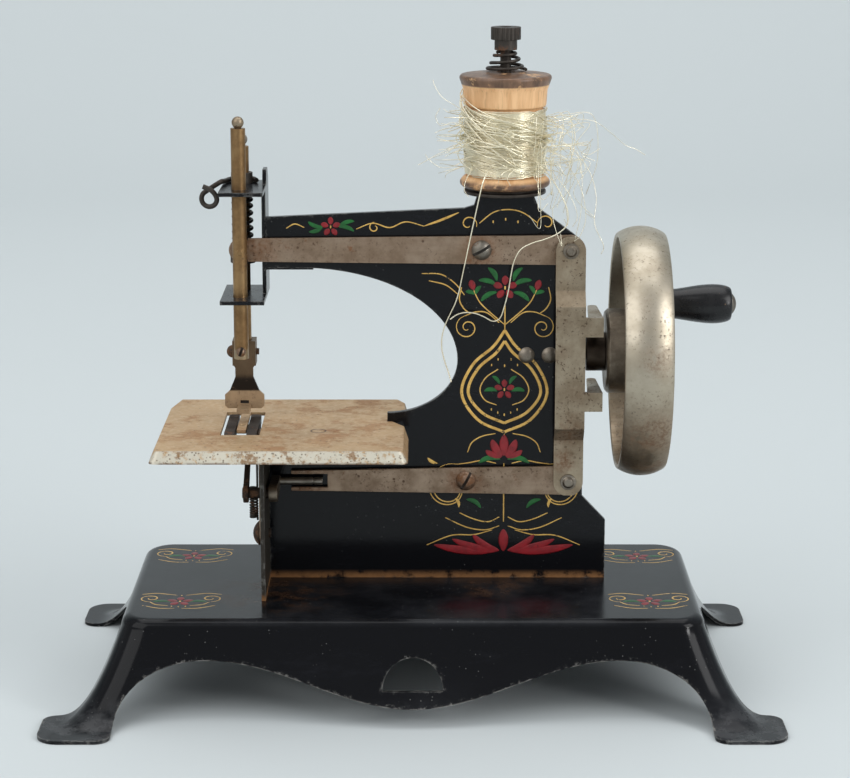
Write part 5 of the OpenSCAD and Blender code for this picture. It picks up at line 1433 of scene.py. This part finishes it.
@dataclass
class Ornament:
    """Folk ornament of scrolls, rosettes and leaves on the plate and the base's corners."""

    plate_y: float = 1.995
    top_z: float = 27.005
    axis: float = 25.4
    line: float = 0.36
    band: float = 0.85
    corners: Route = ((-64, 23), (-64, -20), (65, 22.5), (65, -20))
    medallion: tuple[Route, ...] = (
        ((0, 69.4), (7.4, 73.0), (11.9, 80.6), (8.9, 88.6), (3.2, 93.8), (0, 98.4)),
        ((0, 72.0), (6.2, 75.0), (10.1, 80.8), (7.5, 87.4), (2.4, 92.0), (0, 95.4)))
    beads: Route = ((1.8, 90.2), (3.6, 88.6), (1.8, 75.0), (3.6, 75.9))
    half_column: Spray = Spray(
        lines=((0.7, ((0, 100), (4.0, 103.4), (7.0, 106.4), (8.8, 110.0))),
               (0.7, ((1.6, 100.6), (5.0, 103.4), (8.2, 103.6), (11.1, 102.5))),
               (0.7, ((12.0, 110.6), (12.6, 107.2), (11.4, 104.6), (9.6, 103.2))),
               (0.8, ((2.2, 77.2), (5.4, 78.6), (6.8, 81.6), (5.2, 85.0), (1.8, 87.4))),
               (0.7, ((2.4, 69.0), (6.2, 68.2), (9.0, 66.4), (10.2, 63.6))),
               (0.7, ((1.2, 44.8), (4.4, 43.4), (8.4, 44.2), (12.4, 46.0))),
               (0.7, ((1.2, 42.2), (5.2, 41.0), (10.4, 41.8), (16.4, 44.6))),
               (0.7, ((2.2, 60.4), (6.0, 61.2), (9.6, 60.6), (12.6, 60.2))),
               (0.6, ((3.2, 41.0), (8.4, 39.6), (14.6, 39.4), (21.6, 36.6)))),
        scrolls=(((10.4, 99.2), 78, -560, 3.4, 0.5), ((15.0, 53.0), 110, -430, 7.6, 1.0),
                 ((15.0, 53.0), 110, -430, 6.1, 1.0)),
        gold=(((12.6, 47.6), 70, 2.8, 0.9, 0.4), ((18.6, 60.4), 30, 3.2, 1.0, -0.4)),
        red=(((8.7, 109.8), 74, 2.9, 1.9, 0.0), ((0.5, 62.4), 60, 5.6, 2.4, -0.5), ((0.7, 62.2), 24, 4.8, 1.9, -0.5),
             ((1.2, 35.0), 5, 18.4, 2.5, -0.9), ((1.2, 35.0), 14, 13.6, 2.3, -0.9),
             ((1.2, 35.0), 32, 8.8, 2.1, -0.9)),
        green=(((2.3, 111.06153), 16, 5.2, 1.5, 0.6), ((2.3, 109.2), -30, 5.0, 1.5, 0.6),
               ((2.3, 112.38969), 56, 4.4, 1.5, 0.6), ((8.2, 108.6), 124, 2.8, 1.2, -0.3),
               ((8.4, 108.6), 16, 2.6, 1.2, 0.3), ((2.0, 81.2), 0, 3.6, 1.3, 0.5), ((1.4, 83.2), 48, 3.0, 1.1, 0.4),
               ((1.0, 61.6), -10, 6.2, 1.6, 0.9), ((6.4, 47.4), 32, 4.8, 1.4, 0.7)))
    mid_column: Spray = Spray(
        lines=((0.7, ((0, 98.4), (0, 101.4), (0, 106.0))), (0.7, ((0, 60.4), (0, 56.0), (0, 46.4), (0, 43.4)))),
        red=(((0, 62.6), 90, 6.0, 2.6, 0.0), ((0, 34.8), 90, 6.4, 2.8, 0.0)))
    arm: Spray = Spray(
        lines=((0.6, ((-15.6, 126.8), (-11.0, 128.4), (-6.4, 127.2), (-2.0, 128.8), (3.0, 127.6))),
               (0.6, ((-29.8, 127.2), (-32.4, 128.2), (-34.8, 127.0))),
               (0.6, ((2.4, 114.4), (7.6, 114.2), (11.4, 111.8), (14.2, 108.4))),
               (0.6, ((4.4, 112.4), (9.0, 111.2), (12.4, 108.6))),
               (0.7, ((18.2, 128.4), (22.0, 131.4), (26.0, 132.2), (30.0, 131.4), (34.0, 128.6)))),
        scrolls=(((36.6, 128.4), 200, -330, 2.6, 0.7), ((15.2, 128.2), -20, 330, 2.4, 0.7),
                 ((-10.6, 127.2), 90, 340, 1.5, 0.5)),
        green=(((-20.4, 127.4), 20, 4.6, 1.2, 0.5), ((-20.4, 127.4), -16, 4.4, 1.2, 0.5),
               ((-24.8, 127.4), 160, 4.2, 1.2, 0.5), ((-24.8, 127.4), 200, 4.0, 1.2, 0.5)))
    half_corner: Spray = Spray(
        lines=((0.6, ((3.0, -3.8), (6.4, -2.8), (8.2, -0.5))),
               (0.6, ((1.2, 5.4), (4.0, 6.4), (7.4, 7.2), (11.0, 6.2))),
               (0.6, ((1.0, -6.2), (5.4, -6.0), (10.0, -3.6)))),
        scrolls=(((8.2, 2.6), -90, 460, 3.1, 0.6),), green=(((2.6, -0.4), 0, 4.8, 1.6, 0.9),))

    def plate(self) -> None:
        """Paints the column, whose left half mirrors the right, and the arm."""
        paint = Palette(Ground.PLATE, self.plate_y)
        for side in (-1, 1):
            paint.move((self.axis, 0.0), side)
            paint.draw(self.half_column, self.line)
            paint.gold.dots(self.beads, 0.7)
            for route in self.medallion:
                paint.gold.stroke(route, self.band, 0.95)
        paint.rosette((0.0, 110.4), 2.5)
        paint.rosette((0.0, 81.6), 2.1)
        paint.draw(self.mid_column, self.line)
        paint.gold.dots(((0, 88.4), (0, 74.4), (0, 69.0)), 0.8)
        paint.move((0.0, 0.0))
        paint.rosette((-22.6, 127.4), 2.0)
        paint.draw(self.arm, self.line)
        paint.gold.stroke(((3.0, 127.6), (8.0, 129.4), (12.6, 131.4)), 0.7, 0.2)
        paint.gold.dots(((22.0, 128.8), (25.4, 129.5), (28.8, 128.8)), 0.8)
        paint.build("gold_scrolls", "red_petals", "green_leaves")

    def base_corners(self) -> None:
        """Paints a small spray near each corner of the base's top."""
        paint = Palette(Ground.TOP, self.top_z)
        for corner in self.corners:
            for side in (-1, 1):
                paint.move(corner, side)
                paint.draw(self.half_corner, self.line + 0.1)
            paint.rosette((0.0, 0.0), 2.7)
            paint.gold.dots(((0, 5.2), (0, -4.8), (1.9, -4.4), (-1.9, -4.4)), 0.8)
        paint.build("gold_corner_scrolls", "red_corner_petals", "green_corner_leaves")

    def build(self) -> None:
        """Paints the plate and the base."""
        self.plate()
        self.base_corners()


# ---------------------------------------------------------------- groups of trimmed nodes


@dataclass
class TrimWork:
    """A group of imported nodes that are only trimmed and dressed."""

    name: str
    pieces: tuple[Trim, ...]

    def build(self) -> None:
        """Makes each piece."""
        log.info("trimming the %s", self.name)
        for piece in self.pieces:
            piece.build()


TRIMMED = (
    TrimWork("plates, bracket, bearing and pivots that stand still", (
        Trim("frame_plate", Finishes.plate, 0.22), Trim("end_plate", Finishes.end, 0.16),
        Trim("cloth_plate", Finishes.tin, 0.22, corners=((-69.8, -32.8), (-1.8, -32.8))),
        Trim("cloth_plate_rivet", Finishes.tin, 0.06),
        Trim("face_bracket", Finishes.bracket, 0.18), Trim("face_bracket_rivets", Finishes.steel, 0.06),
        Trim("shaft_bearing", Finishes.bracket, 0.3), Trim("bearing_rivets", Finishes.rivet, 0.12),
        Trim("upper_pivot_screw", Finishes.screw, 0.16), Trim("lower_pivot_screw", Finishes.old_screw, 0.16),
        Trim("pivot_washers", Finishes.steel, 0.08), Trim("pivot_nuts", Finishes.steel, 0.16),
        Trim("presser_guide_bush", Finishes.iron, 0.1), Trim("feed_pivot_screw", Finishes.rusty, 0.12),
        Trim("spool_pin", Finishes.iron, 0.12), Trim("spool_seat", Finishes.iron, 0.25))),
    TrimWork("levers, link, needle bar, presser bar, rocker and feed", (
        Trim("upper_lever", Finishes.lever, 0.16), Trim("lower_lever", Finishes.lever, 0.16),
        Trim("connecting_link", Finishes.link, 0.18), Trim("upper_link_rivet", Finishes.rivet, 0.1),
        Trim("lower_link_rivet", Finishes.rivet, 0.1),
        Trim("needle_bar", Finishes.brassy, 0.55, 32, 3), Trim("needle_bar_ball", Finishes.link, 0.0),
        Trim("needle_drive_pin", Finishes.brassy, 0.1), Trim("needle_clamp_screw", Finishes.old_screw, 0.1),
        Trim("presser_bar", Finishes.brassy, 0.3), Trim("presser_bar_eye", Finishes.steel, 0.05),
        Trim("spring_collar", Finishes.iron, 0.12), Trim("presser_foot", Finishes.foot, 0.14),
        Trim("presser_foot_screw", Finishes.rusty, 0.1),
        Trim("rocker_shaft", Finishes.rusty, 0.12), Trim("rocker_crank", Finishes.hub, 0.14),
        Trim("crank_pin", Finishes.steel, 0.1), Trim("looper", Finishes.rusty, 0.1),
        Trim("feed_lever", Finishes.lever, 0.12), Trim("feed_dog", Finishes.iron, 0.06))),
    TrimWork("handwheel, hub, eccentric, shaft and handle", (
        Trim("handwheel", Finishes.wheel, 0.35, 40), Trim("wheel_hub", Finishes.hub, 0.16),
        Trim("drive_eccentric", Finishes.drum, 0.2), Trim("wheel_shaft", Finishes.steel, 0.15),
        Trim("shaft_collar", Finishes.steel, 0.2), Trim("handle_axle", Finishes.steel, 0.2),
        Trim("handle_grip", Finishes.lacquer, 0.25, 40))),
    TrimWork("wooden spool and the thumb nut above it", (
        Trim("spool", Finishes.wood, 0.35, 30), Trim("thumb_nut", Finishes.iron, 0.12))))


# ---------------------------------------------------------------- studio


@dataclass(frozen=True)
class Lamp:
    """A soft square lamp aimed at a point, in metres and watts."""

    name: str
    place: Point
    aim: Point
    size: float
    power: float

    def build(self) -> None:
        """Hangs the lamp."""
        data = bpy.data.lights.new(self.name, "AREA")
        data.shape = "SQUARE"
        data.size = self.size
        data.energy = self.power
        lamp = placed(self.name, data)
        lamp.location = self.place
        lamp.rotation_euler = (Vector(self.aim) - Vector(self.place)).to_track_quat("-Z", "Y").to_euler()


@dataclass
class Studio:
    """Camera at the photograph's angle, pale sweep and soft lamps, in metres."""

    eye: Point = (0.0033, -0.676, 0.2383)
    pitch: float = 77.0
    sensor: float = 36.0
    focal: float = 2500 / 850
    ground: Colour = (0.60, 0.645, 0.655)
    half_width: float = 4.0
    near_end: float = -3.0
    bend_start: float = 0.9
    bend_radius: float = 0.7
    wall_top: float = 4.0
    sky: Colour = (0.93, 0.965, 1.0)
    sky_strength: float = 0.45
    lamps: tuple[Lamp, ...] = (
        Lamp("left_softbox", (-1.1, -0.9, 1.1), (0, 0, 0.07), 1.6, 13.0),
        Lamp("right_softbox", (1.2, -0.7, 0.9), (0, 0, 0.07), 0.8, 8.0),
        Lamp("right_strip", (1.07, -0.9, 0.40), (0, 0, 0.1), 0.24, 3.1),
        Lamp("top_softbox", (0.0, 0.45, 1.6), (0, 0.55, 0.1), 1.6, 12.8))

    def camera(self) -> None:
        """Sets the camera."""
        data = bpy.data.cameras.new("photo_camera")
        data.sensor_width = self.sensor
        data.lens = self.sensor * self.focal
        data.clip_start = 0.01
        eye = placed("photo_camera", data)
        eye.location = self.eye
        eye.rotation_euler = (math.radians(self.pitch), 0, 0)
        bpy.context.scene.camera = eye

    def sweep(self) -> None:
        """A floor that bends up into a backdrop."""
        start, r = self.bend_start, self.bend_radius
        turns = [math.radians(t) for t in range(6, 91, 6)]
        bend = [(start + r * math.sin(t), r - r * math.cos(t)) for t in turns]
        bm = bmesh.new()
        y, z = self.near_end, 0.0
        edge = [bm.edges.new([bm.verts.new((x, y, z)) for x in (-self.half_width, self.half_width)])]
        for to_y, to_z in [(start, 0.0), *bend, (start + r, self.wall_top)]:
            fresh, edge = grow(bm, edge)
            bmesh.ops.translate(bm, verts=fresh, vec=(0, to_y - y, to_z - z))
            y, z = to_y, to_z
        bmesh.ops.recalc_face_normals(bm, faces=bm.faces[:])
        floor = piece_of("pale_sweep", bm)
        floor.data.shade_smooth()
        s = Shader("pale_ground")
        s.set(Base_Color=s.tint(s.noise(3.0, 3, 0.5), self.ground, scaled(self.ground, 0.985)), Roughness=0.75,
              Specular_IOR_Level=0.2)
        floor.data.materials.append(s.material)

    def light(self) -> None:
        """Lamps and an even pale world."""
        world = bpy.data.worlds.new("soft_room")
        bpy.context.scene.world = world
        world.use_nodes = True
        sky = world.node_tree.nodes["Background"].inputs
        sky["Color"].default_value = (*self.sky, 1.0)
        sky["Strength"].default_value = self.sky_strength
        for lamp in self.lamps:
            lamp.build()
        bpy.context.scene.view_settings.view_transform = "Standard"

    def build(self) -> None:
        """Sets floor and light; the camera comes first, on its own."""
        self.sweep()
        self.light()


def main() -> None:
    """Builds the machine's parts in order."""
    logging.basicConfig(level=logging.INFO, format="%(name)s: %(message)s")
    studio = Studio()
    studio.camera()
    ThreadEnds().build()
    for part in (Base(), *TRIMMED, WireWork(), Winding(), Ornament(), studio):
        log.info("building %s", type(part).__name__)
        part.build()


if __name__ == "__main__":
    main()
